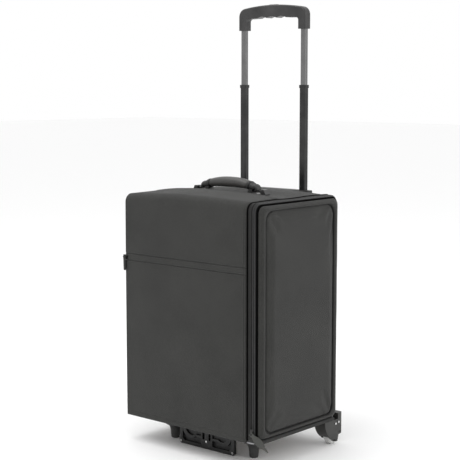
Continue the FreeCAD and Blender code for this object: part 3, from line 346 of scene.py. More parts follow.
def grid(name, P, mat, body, close_u=False, close_v=False, flip=False, smooth=True, weld=0.0):
    """P[i][j]: rows of points, mm.  i runs along u, j along v.  UVs are real lengths."""
    nu, nv = len(P), len(P[0])
    verts = [p for row in P for p in row]
    faces = []
    for i in range(nu if close_u else nu - 1):
        for j in range(nv if close_v else nv - 1):
            a, b = i * nv + j, ((i + 1) % nu) * nv + j
            c, e = ((i + 1) % nu) * nv + (j + 1) % nv, i * nv + (j + 1) % nv
            faces.append((a, b, c, e) if not flip else (a, e, c, b))
    mid = nv // 2
    us = [0.0]
    for i in range(1, nu):
        us.append(us[-1] + (Vector(P[i][mid]) - Vector(P[i - 1][mid])).length)
    mi = nu // 2
    vs = [0.0]
    for j in range(1, nv):
        vs.append(vs[-1] + (Vector(P[mi][j]) - Vector(P[mi][j - 1])).length)
    uvs = [(us[i], vs[j]) for i in range(nu) for j in range(nv)]
    o = mesh_obj(name, verts, faces, mat, body, uvs, smooth)
    if weld:
        bm = bmesh.new()
        bm.from_mesh(o.data)
        bmesh.ops.remove_doubles(bm, verts=bm.verts, dist=weld * MM)
        bm.to_mesh(o.data)
        bm.free()
    return o


def solid(o, thick, offset=-1.0):
    md = o.modifiers.new("thickness", "SOLIDIFY")
    md.thickness = thick * MM
    md.offset = offset
    return o


def lin(a, b, n):
    return [a + (b - a) * i / (n - 1) for i in range(n)]


def with_seams(vals, seams, width=1.6):
    """Adds extra grid lines round each seam so its groove has shape."""
    out = [v for v in vals if all(abs(v - s) > width * 1.6 for s in seams)]
    for s in seams:
        out += [s - width * 1.5, s - width, s - width * 0.5, s - width * 0.2, s, s + width * 0.2, s + width * 0.5, s + width, s + width * 1.5]
    return sorted(out)


def groove(dist, width=1.6, depth=1.0):
    t = abs(dist) / width
    return 0.0 if t >= 1 else depth * (0.5 + 0.5 * math.cos(math.pi * t))


def wob(x, y, z, size=90.0, amp=1.0, seed=0.0):
    return amp * noise.noise(Vector((x / size + seed, y / size - seed * 0.7, z / size + 3.1 * seed)))


def smooth01(t):
    t = max(0.0, min(1.0, t))
    return t * t * (3 - 2 * t)


# --------------------------------------------------------- the case's shape
XL, XR, YF, YB = -199.0, 197.5, -153.0, 130.0
Z0, Z1 = 58.0, 558.0
RC, RT = 22.0, 15.6          # upright corners, top edges
RTX = 16.0                   # the top edge on the door's side
MOUTH = 184.6


def crown(x, y):
    base = 8.0 * (1 - ((x + 0.75) / 198.25) ** 2)
    fx = max(0.0, 1 - (abs(x) / 187.0) ** 2.6)
    f1 = math.sin(min(1.0, max(0.0, (y - YF - 6) / 100.0)) * math.pi / 2)
    f2 = math.sin(min(1.0, max(0.0, (YB - y) / 75.0)) * math.pi / 2)
    lift = 5.5 * fx ** 0.8 * min(f1, f2)
    # the carry handle's place stays low enough for the handle to swing
    near = max(0.0, 1 - ((y + 11.5) / 46.0) ** 2)
    return max(0.0, base + 0.25) + lift * (1 - 0.75 * near)


def edge_side(x):
    """How far the front and back are drawn in near the door's face."""
    t = min(x - (XR - RC), RC)
    return 0.0 if t <= 0 else RC - math.sqrt(max(0.0, RC * RC - t * t))


def edge_top(x):
    t = min(x - (XR - RTX), RTX)
    return 0.0 if t <= 0 else RTX - math.sqrt(max(0.0, RTX * RTX - t * t))


def edge_in(x):
    return edge_side(x)


front_x = [MOUTH, 182, 179, 176, 172, 166, 158] + lin(150, -177, 44)
left_y = lin(YF + RC, YB - RC, 30)
back_x = lin(-177, 150, 44) + [158, 166, 172, 176, 179, 182, MOUTH]


def u_ring(dd):
    """One open ring round front, left and back, drawn in by dd."""
    pts = []
    r = max(RC - dd, 1.2)
    cxl = XL + dd + r
    cyf, cyb = YF + dd + r, YB - dd - r

    def mx(x):
        if x > 150:
            return x
        return 150 - (150 - x) * (150 - cxl) / (150 + 177)
    for x in front_x:
        pts.append((mx(x), YF + dd + max(0.0, edge_in(x) - 0.0)))
    for k in range(1, 8):
        a = math.pi / 2 * k / 8
        pts.append((cxl - r * math.sin(a), cyf - r * math.cos(a)))
    for y in left_y:
        t = (y - left_y[0]) / (left_y[-1] - left_y[0])
        pts.append((XL + dd, cyf + (cyb - cyf) * t))
    for k in range(1, 8):
        a = math.pi / 2 * k / 8
        pts.append((cxl - r * math.cos(a), cyb + r * math.sin(a)))
    for x in back_x:
        pts.append((mx(x), YB - dd - edge_in(x)))
    return pts


def shell_rows(grow=0.0):
    prof = [(34, 57.7), (20, 57.7), (9, 57.9), (3.6, 59.2), (1.0, 62.5), (0.0, 68)]
    prof += [(0.0, z) for z in lin(76, Z1 - RT, 52)]
    for k in range(1, 11):
        a = math.pi / 2 * k / 10
        prof.append((RT * (1 - math.cos(a)), Z1 - RT + RT * math.sin(a)))
    prof += [(v, Z1) for v in (34, 42, 52, 64, 78, 92, 106, 120, 132, 139.5)]
    rows = []
    for dd, z in prof:
        row = []
        for (x, y) in u_ring(dd):
            zz = z
            if z > Z1 - RT - 60:
                zz += (crown(x, y) - edge_top(x)) * smooth01((z - (Z1 - RT - 60)) / 60.0)
            # the walls stand out a little between the edges, and never quite evenly
            if 62 < z < Z1 - RT + 1:
                fz = math.sin(math.pi * (z - 60) / (Z1 - RT - 60)) ** 0.6
                if abs(y - YF) < 4 and x < 170:
                    y -= 0.6 * fz
                if x < XL + 4:
                    g = math.sin(math.pi * min(1, max(0, (y - YF) / (YB - YF))))
                    x -= (2.2 * g * fz + wob(x, y, z, 80, 0.9, 2.0) * fz)
                if abs(y - YB) < 4 and x < 170:
                    y += 0.5 * fz
            row.append((x, y, zz))
        rows.append(row)
    # the last ring closes along the middle of the top
    rows.append([(x, (YF + YB) / 2, z) for x, y, z in rows[-1]])
    return rows


shell = grid("case_fabric", shell_rows(), "woven", "case", weld=0.4)
solid(shell, 1.0)
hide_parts("outer_fabric_shell")
# the boards, foam and stiffeners stay where the CAD has them, inside this cover

# ------------------------------------------------------- front panel (pocket)
BAND0, BAND1 = 414.0, 428.5
RIDGE = YF + 104.0
FX0, FX1 = -187.0, 167.6


PR = 18.2                    # bend of the front panel over the top edge


def front_path():
    """(y, z, ny, nz) from the bottom of the front, over the top edge, to the ridge."""
    pts = []
    off = 2.2
    for z in [59.2, 59.8, 60.6, 61.6, 62.8] + with_seams(lin(64, Z1 + off - PR, 66), [BAND0, BAND1, 69.5], 1.5):
        pts.append((YF, z, -1.0, 0.0))
    for k in range(1, 15):
        a = math.pi / 2 * k / 14
        # point of the panel's outer face, given back to the height's zero
        yy = YF - off + PR * (1 - math.cos(a))
        zz = Z1 + off - PR + PR * math.sin(a)
        pts.append((yy + off * math.cos(a), zz - off * math.sin(a), -math.cos(a), math.sin(a)))
    ys = lin(YF + PR + 5, RIDGE - 5, 13) + [RIDGE - 3.4, RIDGE - 2.2, RIDGE - 1.2, RIDGE - 0.4, RIDGE]
    for y in ys:
        pts.append((y, Z1, 0.0, 1.0))
    return pts


def front_rows():
    path = front_path()
    xs = with_seams(lin(FX0, FX1, 62), [162.0, FX0 + 4.0], 1.2)
    xs = sorted(set([FX0, FX0 + 0.5, FX1 - 0.5, FX1] + [x for x in xs if FX0 < x < FX1]))
    rows = []
    npth = len(path)
    for i, (y, z, ny, nz) in enumerate(path):
        row = []
        for x in xs:
            # height above the cover below it
            e = min(x - FX0, FX1 - x)
            h = 2.2 * smooth01(e / 1.6) ** 0.5
            if y > RIDGE - 5:
                h = (2.2 + 1.6 * smooth01((y - RIDGE + 14) / 10)) * math.sqrt(max(0.0, 1 - ((y - (RIDGE - 4)) / 4.0) ** 2)) if y > RIDGE - 4 else 2.2 + 1.6 * smooth01((y - RIDGE + 14) / 10)
                h *= smooth01(e / 1.6) ** 0.5
            elif y > RIDGE - 16:
                h += 1.6 * smooth01((y - RIDGE + 14) / 10) * smooth01(e / 1.6)
            if z < 64:
                t = max(0.0, (64 - z) / 4.8)
                h *= math.sqrt(max(0.0, 1 - t * t * 0.9))
            if nz < 0.01:
                h -= groove(z - BAND0, 1.6, 1.25) + groove(z - BAND1, 1.6, 1.35) + groove(z - 69.5, 1.5, 0.5)
                # the pocket below the band hangs a little fuller than the flap above it
                if z < BAND0:
                    t = (BAND0 - z) / (BAND0 - 66)
                    h += 1.7 * math.sin(math.pi * min(1, t ** 0.8)) * math.sin(math.pi * (x - FX0) / (FX1 - FX0)) ** 0.7
                elif z > BAND1:
                    t = (z - BAND1) / (Z1 - RT - BAND1)
                    h += 1.2 * math.sin(math.pi * min(1, t) * 0.8) * math.sin(math.pi * (x - FX0) / (FX1 - FX0)) ** 0.7
                else:
                    h += 0.35 * math.sin(math.pi * (z - BAND0) / (BAND1 - BAND0))
            h -= groove(x - 162.0, 1.2, 0.7) + groove(x - FX0 - 4, 1.2, 0.6)
            fade = smooth01(e / 25)
            h += fade * (wob(x, y, z, 70, 0.8, 5.0) + wob(x, 0, z, 28, 0.22, 9.0)) * (1 if z > 75 else 0.3)
            w = 1.0 if nz > 0.01 else smooth01((z - (Z1 - RT - 60)) / 60.0)
            zz = z + (crown(x, y) + 0.3) * w
            bul = 0.6 * math.sin(math.pi * min(1, max(0, (z - 60) / (Z1 - RT - 60)))) ** 0.6 if nz < 0.5 else 0
            yy = y - bul * (1 - nz)
            row.append((x, yy + ny * h, zz + nz * h))
        rows.append(row)
    return rows


front = grid("front_panel_fabric", front_rows(), "woven", "case", flip=True)
solid(front, 1.0)
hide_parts("front_pocket_panel", "pocket_zip_tape", "pocket_zip_chain")


def capsule_verts(p, q_, r, n=6):
    p, q_ = Vector(p), Vector(q_)
    ax = (q_ - p).normalized()
    up = Vector((0, 0, 1)) if abs(ax.z) < 0.9 else Vector((1, 0, 0))
    s = ax.cross(up).normalized()
    t = ax.cross(s)
    rings = [(p - ax * r * 0.2, r * 0.35), (p + ax * r * 0.5, r * 0.9), (q_ - ax * r * 0.5, r * 0.9), (q_ + ax * r * 0.2, r * 0.35)]
    vs = []
    for c, rr in rings:
        for k in range(n):
            a = 2 * math.pi * k / n
            vs.append(tuple(c + (s * math.cos(a) + t * math.sin(a)) * rr))
    fs = []
    for i in range(3):
        for k in range(n):
            fs.append((i * n + k, i * n + (k + 1) % n, (i + 1) * n + (k + 1) % n, (i + 1) * n + k))
    fs.append(tuple(reversed(range(n))))
    fs.append(tuple(range(3 * n, 4 * n)))
    return vs, fs


def stitches(name, lines, body, length=3.4, gap=1.4, r=0.34):
    """lines: lists of points in mm; one stitch after another along each."""
    V_, F_ = [], []
    for pts in lines:
        pts = [Vector(p) for p in pts]
        acc = [0.0]
        for a, b in zip(pts, pts[1:]):
            acc.append(acc[-1] + (b - a).length)
        total = acc[-1]

        def at(s):
            s = max(0.0, min(total, s))
            for i in range(len(pts) - 1):
                if acc[i + 1] >= s:
                    t = (s - acc[i]) / max(1e-9, acc[i + 1] - acc[i])
                    return pts[i].lerp(pts[i + 1], t)
            return pts[-1]
        s = gap
        while s + length < total:
            v, f = capsule_verts(at(s), at(s + length), r)
            k = len(V_)
            V_ += v
            F_ += [tuple(i + k for i in ff) for ff in f]
            s += length + gap
    o = mesh_obj(name, V_, F_, "thread", body)
    return o


# stitch lines find the cover's surface by a ray
def surface_tree(objs):
    vs, fs = [], []
    for o in objs:
        k = len(vs)
        vs += [v.co.copy() for v in o.data.vertices]
        fs += [tuple(i + k for i in p.vertices) for p in o.data.polygons]
    return BVHTree.FromPolygons(vs, fs)


tree_front = surface_tree([front, shell])


def drop(tree, p, dirn, lift=0.12, reach=60.0):
    """The point where a ray from outside meets the surface, lifted a little."""
    dv = Vector(dirn).normalized()
    start = Vector(p) * MM - dv * reach * MM
    hit = tree.ray_cast(start, dv)
    if hit[0] is None:
        return None
    return tuple((hit[0] - dv * lift * MM) / MM)


def drop_line(tree, pts, dirn, lift=0.12):
    return [q_ for q_ in (drop(tree, p, dirn, lift) for p in pts) if q_]


lines = []
for zz in (BAND0 - 2.6, BAND0 + 2.2, BAND1 - 2.2, BAND1 + 2.6):
    lines.append(drop_line(tree_front, [(x, YF, zz) for x in lin(FX0 + 7, 158, 60)], (0, 1, 0)))
for xx in (158.6, 164.4):
    lines.append(drop_line(tree_front, [(xx, YF, z) for z in lin(72, Z1 - RT - 2, 60)], (0, 1, 0)))
lines.append(drop_line(tree_front, [(FX0 + 6.5, YF, z) for z in lin(72, Z1 - RT - 2, 60)], (0, 1, 0)))
lines.append(drop_line(tree_front, [(x, RIDGE - 7.5, Z1) for x in lin(FX0 + 8, 160, 60)], (0, 0, -1)))
stitches("front_stitching", lines, "case")

# --------------------------------------------------- mouth and door outlines


def side_path(dd, zlow, closed, zback=None, top=None, r=None, rb=12.0, n_arc=10):
    """The outline seen from the door's side, drawn in by dd at front and back and by
    top above: list of (y, z, ny, nz).  Open: from the low front corner, up, over and
    down the back.  Closed: all round."""
    pts = []
    top = dd if top is None else top
    r = max(RTX - dd, 1.5) if r is None else r
    y0, y1, z1 = YF + dd, YB - dd, Z1 + 0.6 - top
    zl = zlow
    q0 = rb
    if closed:
        zl = zlow + q0
    for z in lin(zl, z1 - r, 56):
        pts.append((y0, z, -1, 0))
    for k in range(1, n_arc):
        a = math.pi / 2 * k / n_arc
        pts.append((y0 + r - r * math.cos(a), z1 - r + r * math.sin(a), -math.cos(a), math.sin(a)))
    for y in lin(y0 + r, y1 - r, 30):
        pts.append((y, z1, 0, 1))
    for k in range(1, n_arc):
        a = math.pi / 2 * k / n_arc
        pts.append((y1 - r + r * math.sin(a), z1 - r + r * math.cos(a), math.sin(a), math.cos(a)))
    zb = zl if zback is None else zback
    for z in lin(z1 - r, zb, 56):
        pts.append((y1, z, 1, 0))
    if closed:
        for k in range(1, 7):
            a = math.pi / 2 * k / 7
            pts.append((y1 - q0 + q0 * math.cos(a), zl - q0 * math.sin(a), math.cos(a), -math.sin(a)))
        for y in lin(y1 - q0, y0 + q0, 28):
            pts.append((y, zl - q0, 0, -1))
        for k in range(1, 7):
            a = math.pi / 2 * k / 7
            pts.append((y0 + q0 - q0 * math.sin(a), zl - q0 * math.cos(a), -math.sin(a), -math.cos(a)))
    return pts


def strip(name, section, zlow, mat, body, closed=False, zback=None, close_sec=False, wav=0.0, base=0.0):
    """Sweeps a section of (x, height) along the case's side outline.  The height is
    above the rounded surface at that x."""
    cols = []
    for (x, hgt) in section:
        col = []
        for (y, z, ny, nz) in side_path(edge_side(x) - hgt - base, zlow, closed, zback=zback, top=edge_top(x) - hgt - base, r=15.5 + hgt):
            w = wob(x, y, z, 60, wav, 4.0) if wav else 0.0
            up = crown(x, y) * smooth01((z - (Z1 - RT - 60)) / 60.0)
            col.append((x + w * 0.3, y + ny * w, z + nz * w + up))
        cols.append(col)
    P = [[cols[j][i] for j in range(len(cols))] for i in range(len(cols[0]))]
    return grid(name, P, mat, body, close_u=closed, close_v=close_sec)


ZZ = 75.0
# tape on the case's side: flat, with a turned ridge near the coil
t1 = strip("zip_tape_case", [(171.0, 0.05), (171.3, 0.8), (172.0, 1.0), (174.5, 0.9), (177.2, 1.0), (178.0, 1.7), (179.0, 2.0), (180.0, 1.7), (180.8, 1.0), (182.6, 0.9), (182.8, 0.1)],
           ZZ, "tape", "case", zback=80.0, wav=0.25)
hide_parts("case_zip_tape")


def bead(name, xc, hc, rx, rh, zlow, mat, body, zback, n=10):
    sec = []
    for k in range(n):
        a = 2 * math.pi * k / n
        sec.append((xc + rx * math.cos(a), hc + rh * math.sin(a)))
    return strip(name, sec, zlow, mat, body, zback=zback, close_sec=True)


c1 = bead("zip_coil_case", 183.7, 1.5, 1.15, 1.0, ZZ, "coil", "case", 80.0)
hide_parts("case_zip_coil")
c2 = bead("zip_coil_door", 186.7, 1.5, 1.15, 1.0, ZZ, "coil", "door", 80.0)
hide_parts("door_zip_coil")
t2 = strip("zip_tape_door", [(185.6, 0.1), (185.7, 0.8), (187.5, 0.9), (188.8, 1.5), (189.6, 1.2), (190.3, 0.2)],
           ZZ, "tape", "door", zback=80.0, wav=0.15)
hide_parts("door_zip_tape")

# painted shade: near-black beads in the grooves beside the front panel, and where the door's tape meets its rim, stand
# in for the shadow in those gaps
g1 = bead("painted_shade_beside_panel", 169.4, 0.9, 2.0, 1.3, 66.0, "seam", "case", 75.0)
g2 = bead("painted_shade_beside_rim", 190.6, 0.9, 1.9, 1.3, 72.0, "seam", "door", 80.0)

# the mouth's edge: binding that turns from the outside to the lining
mouth = strip("mouth_binding", [(181.0, -0.6), (184.0, -0.4), (184.9, -1.0), (184.9, -4.0), (184.6, -8.0), (181.0, -9.4), (176.5, -9.6)],
              66.0, "binding", "case", closed=False, wav=0.1)

# ------------------------------------------------------------------ the door


def door_rows():
    cols = []
    edge = [(185.5, -7.0), (185.4, -3.0), (185.4, -0.4), (186.0, 0.0), (187.5, 0.0), (189.2, 0.0), (190.0, -0.9), (190.6, -3.0), (191.3, -3.0), (191.9, -0.9),
            (192.6, 0.9), (193.6, 1.7), (194.6, 2.0)]
    for x, h in edge:
        es, et = edge_side(x) - h, edge_top(x) - h
        cols.append((x, es, et, max(0.0, es) * 0.18, 15.0, 11.0))
    for x, t in [(196.4, -0.16), (197.6, 0.0), (198.4, 0.22), (198.7, 0.45), (198.3, 0.66), (197.2, 0.82), (195.6, 0.93), (194.2, 1.0), (193.2, 1.1), (192.6, 1.4)]:
        cols.append((x, 14.6 + 9.4 * t, 7.8 + 5.2 * t, 2.6 + 5.0 * t, 15.0 + 9 * max(0.0, t), 11.0 + 10 * max(0.0, t)))
    out = []
    for x, dd, dt, db, r, q0 in cols:
        col = []
        for (y, z, ny, nz) in side_path(dd, 68.0 + db, True, top=dt, r=r, rb=q0):
            w = wob(x, y, z, 45, 0.4, 7.0) if 8 < dd < 23 else 0.0
            col.append((x + w, y, z))
        out.append(col)
    return [[out[j][i] for j in range(len(out))] for i in range(len(out[0]))]


rim = grid("door_rim_fabric", door_rows(), "woven", "door", close_u=True)
solid(rim, 0.9)
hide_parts("door_rim")


def pillow_mesh():
    """The padded panel before it is filled: a thin rounded slab."""
    secs = [(190.4, 8.0), (190.4, 2.0), (190.8, 0.5), (192.0, 0.0), (194.4, 0.0), (196.0, 0.4), (197.2, 1.5), (197.9, 3.6), (198.3, 8.0)]
    outl = []
    for x, k in secs:
        outl.append([(x, y, z) for (y, z, ny, nz) in side_path(24.2 + k, 68.0 + 7.9 + k, True, top=13.2 + k, r=max(24.5 - k, 3), rb=max(22.0 - k, 3))])
    n = len(outl[0])
    verts = [p for r_ in outl for p in r_]
    faces = []
    for i in range(len(outl) - 1):
        for j in range(n):
            faces.append((i * n + j, i * n + (j + 1) % n, (i + 1) * n + (j + 1) % n, (i + 1) * n + j))
    faces.append(tuple(reversed(range(n))))
    faces.append(tuple(range((len(outl) - 1) * n, len(outl) * n)))
    return verts, faces


def fill_cloth(o, voxel, pressure, cap, frames=20, pin=None):
    """Blows a closed cover up a little with cloth simulation, then keeps the result."""
    md = o.modifiers.new("even", "REMESH")
    md.mode = "VOXEL"
    md.voxel_size = voxel
    dg = bpy.context.evaluated_depsgraph_get()
    me = bpy.data.meshes.new_from_object(o.evaluated_get(dg))
    o.modifiers.clear()
    o.data = me
    start = [v.co.copy() for v in me.vertices]
    normals = [v.normal.copy() for v in me.vertices]
    if pin is not None:
        vg = o.vertex_groups.new(name="held")
        for v in me.vertices:
            w = pin(v.co)
            if w > 0:
                vg.add([v.index], w, "REPLACE")
    cm = o.modifiers.new("cloth", "CLOTH")
    st = cm.settings
    st.quality = 6
    st.mass = 0.3
    st.tension_stiffness = 40
    st.compression_stiffness = 40
    st.shear_stiffness = 20
    st.bending_stiffness = 4
    st.use_pressure = True
    st.uniform_pressure_force = pressure
    st.effector_weights.gravity = 0
    if pin is not None:
        st.vertex_group_mass = "held"
    cm.collision_settings.use_collision = False
    cm.point_cache.frame_start = 1
    cm.point_cache.frame_end = frames
    for f in range(1, frames + 1):
        sc.frame_set(f)
    dg = bpy.context.evaluated_depsgraph_get()
    new = bpy.data.meshes.new_from_object(o.evaluated_get(dg))
    o.modifiers.clear()
    for i, v in enumerate(new.vertices):
        dlt = v.co - start[i]
        if dlt.length > cap:
            v.co = start[i] + dlt * (cap / dlt.length)
    mats = [m for m in me.materials]
    o.data = new
    if not o.data.materials:
        for m in mats:
            o.data.materials.append(m)
    for p in o.data.polygons:
        p.use_smooth = True
    sc.frame_set(1)


pv, pf = pillow_mesh()
pillow = mesh_obj("door_padded_cover", pv, pf, "woven_yz", "door")
fill_cloth(pillow, 0.005, 3.5, 0.0042, pin=lambda c: 1.0 if c.x < 0.1935 else 0.0)
sub = pillow.modifiers.new("fine", "SUBSURF")
sub.levels = sub.render_levels = 1
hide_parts("door_padded_panel")

# piping that lies in the groove's outer edge; its near-black colour is partly the piping's own and partly painted shade
# for the groove's shadow
cols = []
for k in range(12):
    a = 2 * math.pi * k / 12
    x, h = 195.6 + 2.4 * math.cos(a), 2.4 * math.sin(a)
    cols.append([(x, y, z) for (y, z, ny, nz) in side_path(22.9 - h, 68.0 + 6.9 - h, True, top=12.1 - h, r=24.0 + h, rb=21.0 + h)])
pip = grid("door_piping_cloth", [[cols[j][i] for j in range(len(cols))] for i in range(len(cols[0]))], "piping", "door", close_u=True, close_v=True)
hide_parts("door_piping")

# door lining, left flat: the quilting term is multiplied by zero; its outline follows the door's
def side_inset(z, y_edge, r):
    """How far the outline is drawn in at this height by its round corners."""
    zt, zb_ = 556.0, 69.6
    if z > zt - r:
        return r - math.sqrt(max(0.0, r * r - (z - zt + r) ** 2))
    if z < zb_ + 11:
        return 11 - math.sqrt(max(0.0, 121 - (zb_ + 11 - z) ** 2))
    return 0.0


rows = []
for z in [69.7, 70.3, 71.5, 73.5, 76.5] + lin(80.5, 540, 90) + [545, 549, 552, 554, 555.3, 555.9]:
    i0 = side_inset(z, 0, 15)
    row = []
    for y in lin(-150.2 + i0, 127.2 - i0, 62):
        e = min(y + 150.2 - i0, 127.2 - i0 - y, z - 69.6, 556 - z)
        q1 = abs(math.sin((y + z) * math.pi / 60)) * abs(math.sin((y - z) * math.pi / 60))
        row.append((185.9 - 0.45 * smooth01(e / 3) - 0.1 - 0.9 * smooth01((e - 6) / 12) * min(1, q1 * 1.6) * 0.0, y, z))
    rows.append(row)
dl = grid("door_lining_cloth", rows, "lining", "door", flip=True)
solid(dl, 0.4, 1.0)
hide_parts("door_lining")

# binding along the fold: a soft roll on the case's low right edge, over the cord
rows = []
for y in [-141.0, -140.6, -139.6, -137.6, -134.5] + lin(-131, 108, 58) + [111.5, 114.6, 116.6, 117.6, 118.0]:
    ed = min(y - YF, YB - y)
    inn = RC - math.sqrt(max(0.0, RC * RC - (RC - ed) ** 2)) if ed < RC else 0.0
    end = smooth01(min(y + 141.2, 118.2 - y) / 5.0) ** 0.5
    w = wob(0, y, 0, 40, 0.25, 6.0)
    sec = [(176, 57.5), (190, 57.4), (195.4, 57.7), (197.3, 58.8), (197.9, 60.6), (197.7, 62.9), (196.5, 65.0), (193.8, 66.2), (188.0, 66.4), (183.6, 66.0)]
    rows.append([(x - inn * (1 if x > 184 else 0) + (w if x > 192 else 0), y, 61.5 + (z - 61.5) * (0.35 + 0.65 * end)) for x, z in sec])
bb_ = grid("base_binding", rows, "binding", "case", flip=False)
solid(bb_, 0.6)
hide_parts("hinge_piping")
tb = surface_tree([bb_])
stitches("base_stitching", [drop_line(tb, [(210, y, 64.2) for y in lin(-128, 105, 50)], (-1, 0, 0), 0.1)], "case")

# -------------------------------------------------------------- inner lining
rows = []
prof = [(12.5, 66.0), (10.2, 68), (9.2, 74)] + [(9.0, z) for z in lin(82, 528, 30)]
for k in range(1, 7):
    a = math.pi / 2 * k / 6
    prof.append((9.0 + 19 * (1 - math.cos(a)), 530 + 19.0 * math.sin(a)))
prof += [(v, 549.0) for v in (40, 60, 85, 110, 132)]
for dd, z in prof:
    row = []
    for (x, y) in u_ring(dd):
        x = min(x, 184.2)
        zz = z + (0.35 * crown(x, y) if z > 548.5 else 0)
        sag = wob(x, y, z, 50, 0.6, 8.0)
        row.append((x + (sag if x < 170 else 0), y + (sag * 0.7 if x < 170 else 0), zz - 0.2))
    rows.append(row)
ln = grid("inner_lining_cloth", rows, "lining", "case", flip=True, weld=0.4)
solid(ln, 0.5, 1.0)
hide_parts("inner_lining")
rows = [[(x, y, 65.3 + 0.5 * wob(x, y, 0, 60, 1, 3)) for x in lin(-186, 184, 40)] for y in lin(-141, 118, 30)]
lf = grid("floor_lining_cloth", rows, "lining", "case", flip=True)
solid(lf, 0.5, 1.0)

# ------------------------------------------------------------ rear rail cover
rows = []
rb0, rb1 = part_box("rear_rail_cover")
cx0, cx1 = rb0[0] / MM, rb1[0] / MM
cy1 = rb1[1] / MM
czl, czh = rb0[2] / MM, rb1[2] / MM
zs = with_seams(lin(czl + 0.5, czh - 0.3, 60), [czl + 12, czh - 14], 1.2)
for z in zs:
    row = []
    path = [(cx0 - 3.5, 130.4), (cx0 - 1.0, 130.8), (cx0 - 0.2, 132.5)] + [(cx0 - 0.2, y) for y in lin(134, cy1 - 7, 6)]
    for k in range(1, 7):
        a = math.pi / 2 * k / 6
        path.append((cx0 - 0.2 + 6.5 * (1 - math.cos(a)), cy1 - 6.5 + 6.5 * math.sin(a) + 0.2))
    path += [(x, cy1 + 0.2) for x in with_seams(lin(cx0 + 10, cx1 - 10, 36), [cx0 + 14, cx1 - 14, 0.0], 1.2)]
    for k in range(6, 0, -1):
        a = math.pi / 2 * k / 6
        path.append((cx1 + 0.2 - 6.5 * (1 - math.cos(a)), cy1 - 6.5 + 6.5 * math.sin(a) + 0.2))
    path += [(cx1 + 0.2, y) for y in lin(cy1 - 7, 134, 6)] + [(cx1 + 0.2, 132.5), (cx1 + 1.0, 130.8), (cx1 + 3.5, 130.4)]
    for (x, y) in path:
        if y > cy1 - 1:
            f = smooth01(min(x - cx0, cx1 - x) / 25)
            y += 1.2 * f * math.sin(math.pi * (z - czl) / (czh - czl)) ** 0.5 + wob(x, y, z, 60, 0.5, 11.0) * f
            y -= groove(x - cx0 - 14, 1.2, 0.7) + groove(x - cx1 + 14, 1.2, 0.7) + groove(x, 1.2, 0.6)
        y -= (groove(z - czl - 12, 1.2, 0.6) + groove(z - czh + 14, 1.2, 0.6)) * (1 if y > 140 else 0)
        row.append((x, y, z))
    rows.append(row)
rc = grid("rear_rail_cover_fabric", rows, "woven", "case", flip=True)
solid(rc, 0.9)
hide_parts("rear_rail_cover")
tr = surface_tree([rc])
lines = []
for xx in (cx0 + 11.4, cx0 + 16.6, cx1 - 11.4, cx1 - 16.6):
    lines.append(drop_line(tr, [(xx, cy1, z) for z in lin(czl + 16, czh - 18, 50)], (0, -1, 0)))
stitches("rear_stitching", lines, "case")

# --------------------------------------------------------------- carry handle
hb0, hb1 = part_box("handle_pins")
HZ = (hb0[2] + hb1[2]) / 2 / MM
HY = (hb0[1] + hb1[1]) / 2 / MM


def tube_along(name, pts, secs, mat, body, n=20, power=2.6, cap=True):
    """Sweeps a rounded section along points in the XZ plane.  secs: (half width
    across Y, half thickness) at each point."""
    P = []
    for i, (x, z) in enumerate(pts):
        a = pts[max(0, i - 1)]
        b = pts[min(len(pts) - 1, i + 1)]
        tx, tz = b[0] - a[0], b[1] - a[1]
        L = math.hypot(tx, tz)
        nx, nz = -tz / L, tx / L
        hw, ht = secs[i]
        row = []
        for k in range(n):
            t = 2 * math.pi * k / n
            c, s = math.cos(t), math.sin(t)
            c = math.copysign(abs(c) ** (2 / power), c)
            s = math.copysign(abs(s) ** (2 / power), s)
            row.append((x + nx * ht * s, HY + hw * c, z + nz * ht * s))
        P.append(row)
    if cap:
        for end, row in ((0, P[0]), (-1, P[-1])):
            c = Vector((0, 0, 0))
            for p in row:
                c += Vector(p)
            c /= len(row)
            inner = [tuple(c.lerp(Vector(p), 0.05)) for p in row]
            if end == 0:
                P.insert(0, inner)
            else:
                P.append(inner)
    return grid(name, P, mat, body, close_v=True, flip=True)


def arch(x):
    return HZ + 5.0 + 11.5 * (1 - (abs(x) / 80.0) ** 2.4)


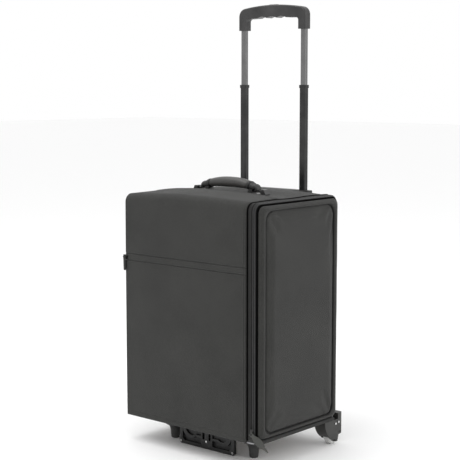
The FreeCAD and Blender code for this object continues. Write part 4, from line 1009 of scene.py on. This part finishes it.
gx = lin(-56, 56, 41)
pts, secs = [], []
for x in gx:
    t = abs(x) / 56.0
    pts.append((x, arch(x) - 0.4))
    fin = math.sqrt(max(0.0, 1 - max(0.0, (t - 0.93) / 0.07) ** 2)) * 0.25 + 0.75
    secs.append(((12.9 - 2.0 * t * t) * fin, (11.2 - 2.4 * t * t) * fin))
hg = tube_along("carry_grip_leather", pts, secs, "leather", "carry_handle", n=28)
sb = hg.modifiers.new("fine", "SUBSURF")
sb.levels = sb.render_levels = 1
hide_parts("carry_handle_grip")
for s, tag in ((-1, "left"), (1, "right")):
    pts = [(s * x, z) for x, z in ((55.0, arch(55.0) - 0.4), (57.5, arch(57.5) - 0.4), (60.5, arch(60.5) - 0.4))]
    o = tube_along("carry_collar_" + tag, pts, [(11.3, 9.2), (11.7, 9.6), (11.2, 9.0)], "black", "carry_handle", n=28)
    raw = [(60, arch(60) - 0.4), (63.5, arch(63.5) - 0.4), (67, arch(67) - 0.4), (70.5, arch(70.5) - 0.9), (74.0, HZ + 9.6), (77, HZ + 7.6), (79.2, HZ + 4.6), (80.3, HZ + 1.4), (80.5, HZ - 1.0)]
    pts = [(s * x, z) for x, z in raw]
    o = tube_along("carry_end_" + tag, pts, [(10.6, 8.4), (10.4, 8.0), (10.0, 7.4), (9.6, 6.8), (9.1, 6.2), (8.6, 5.7), (8.2, 5.2), (8.0, 4.9), (7.4, 4.4)], "endloop", "carry_handle", n=24, power=3.0)
    sb = o.modifiers.new("fine", "SUBSURF")
    sb.levels = sb.render_levels = 1
    if s < 0:
        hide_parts("carry_handle_strap")
# seam under the grip
lines = [[(x, HY + sd * 3.2, arch(x) - 0.4 - (11.2 - 2.4 * (x / 56.0) ** 2) * 0.995 - 0.1) for x in lin(-51, 51, 40)] for sd in (-1, 1)]
stitches("grip_stitching", lines, "carry_handle")

# ------------------------------------------------------------------- staging
bpy.ops.mesh.primitive_plane_add(size=40, location=(0, 0, 0))
floor = bpy.context.object
floor.name = "floor"
m, nt, b = mat_new("pale_floor")
b.inputs["Base Color"].default_value = (0.96, 0.96, 0.96, 1)
b.inputs["Roughness"].default_value = 0.8
floor.data.materials.append(m)

w = bpy.data.worlds.new("studio")
sc.world = w
w.use_nodes = True
bg = w.node_tree.nodes["Background"]
bg.inputs[0].default_value = (1.0, 1.0, 1.0, 1)
bg.inputs[1].default_value = 1.0


def area(name, loc, target, size, power, size_y=None):
    L = bpy.data.lights.new(name, "AREA")
    L.energy = power
    L.shape = "RECTANGLE"
    L.size = size
    L.size_y = size_y or size
    o = bpy.data.objects.new(name, L)
    o.location = loc
    dv = Vector(target) - Vector(loc)
    o.rotation_euler = dv.to_track_quat("-Z", "Y").to_euler()
    sc.collection.objects.link(o)
    return o


area("key_top", (-0.6, -1.2, 3.0), (0, 0, 0.4), 2.4, 42)
area("side_fill", (2.6, 0.6, 1.5), (0.1, 0, 0.4), 1.6, 16)

cam = bpy.data.cameras.new("camera")
cam.lens = 1232.0 / 460 * 36.0
cam.sensor_width = 36.0
cam.clip_end = 50
co = bpy.data.objects.new("camera", cam)
sc.collection.objects.link(co)
a, e = math.radians(41.02), math.radians(6.72)
co.location = (1.7825, -2.0627, 0.8021)
fwd = Vector((-math.sin(a) * math.cos(e), math.cos(a) * math.cos(e), -math.sin(e)))
co.rotation_euler = fwd.to_track_quat("-Z", "Y").to_euler()
sc.camera = co
sc.view_settings.view_transform = "Standard"
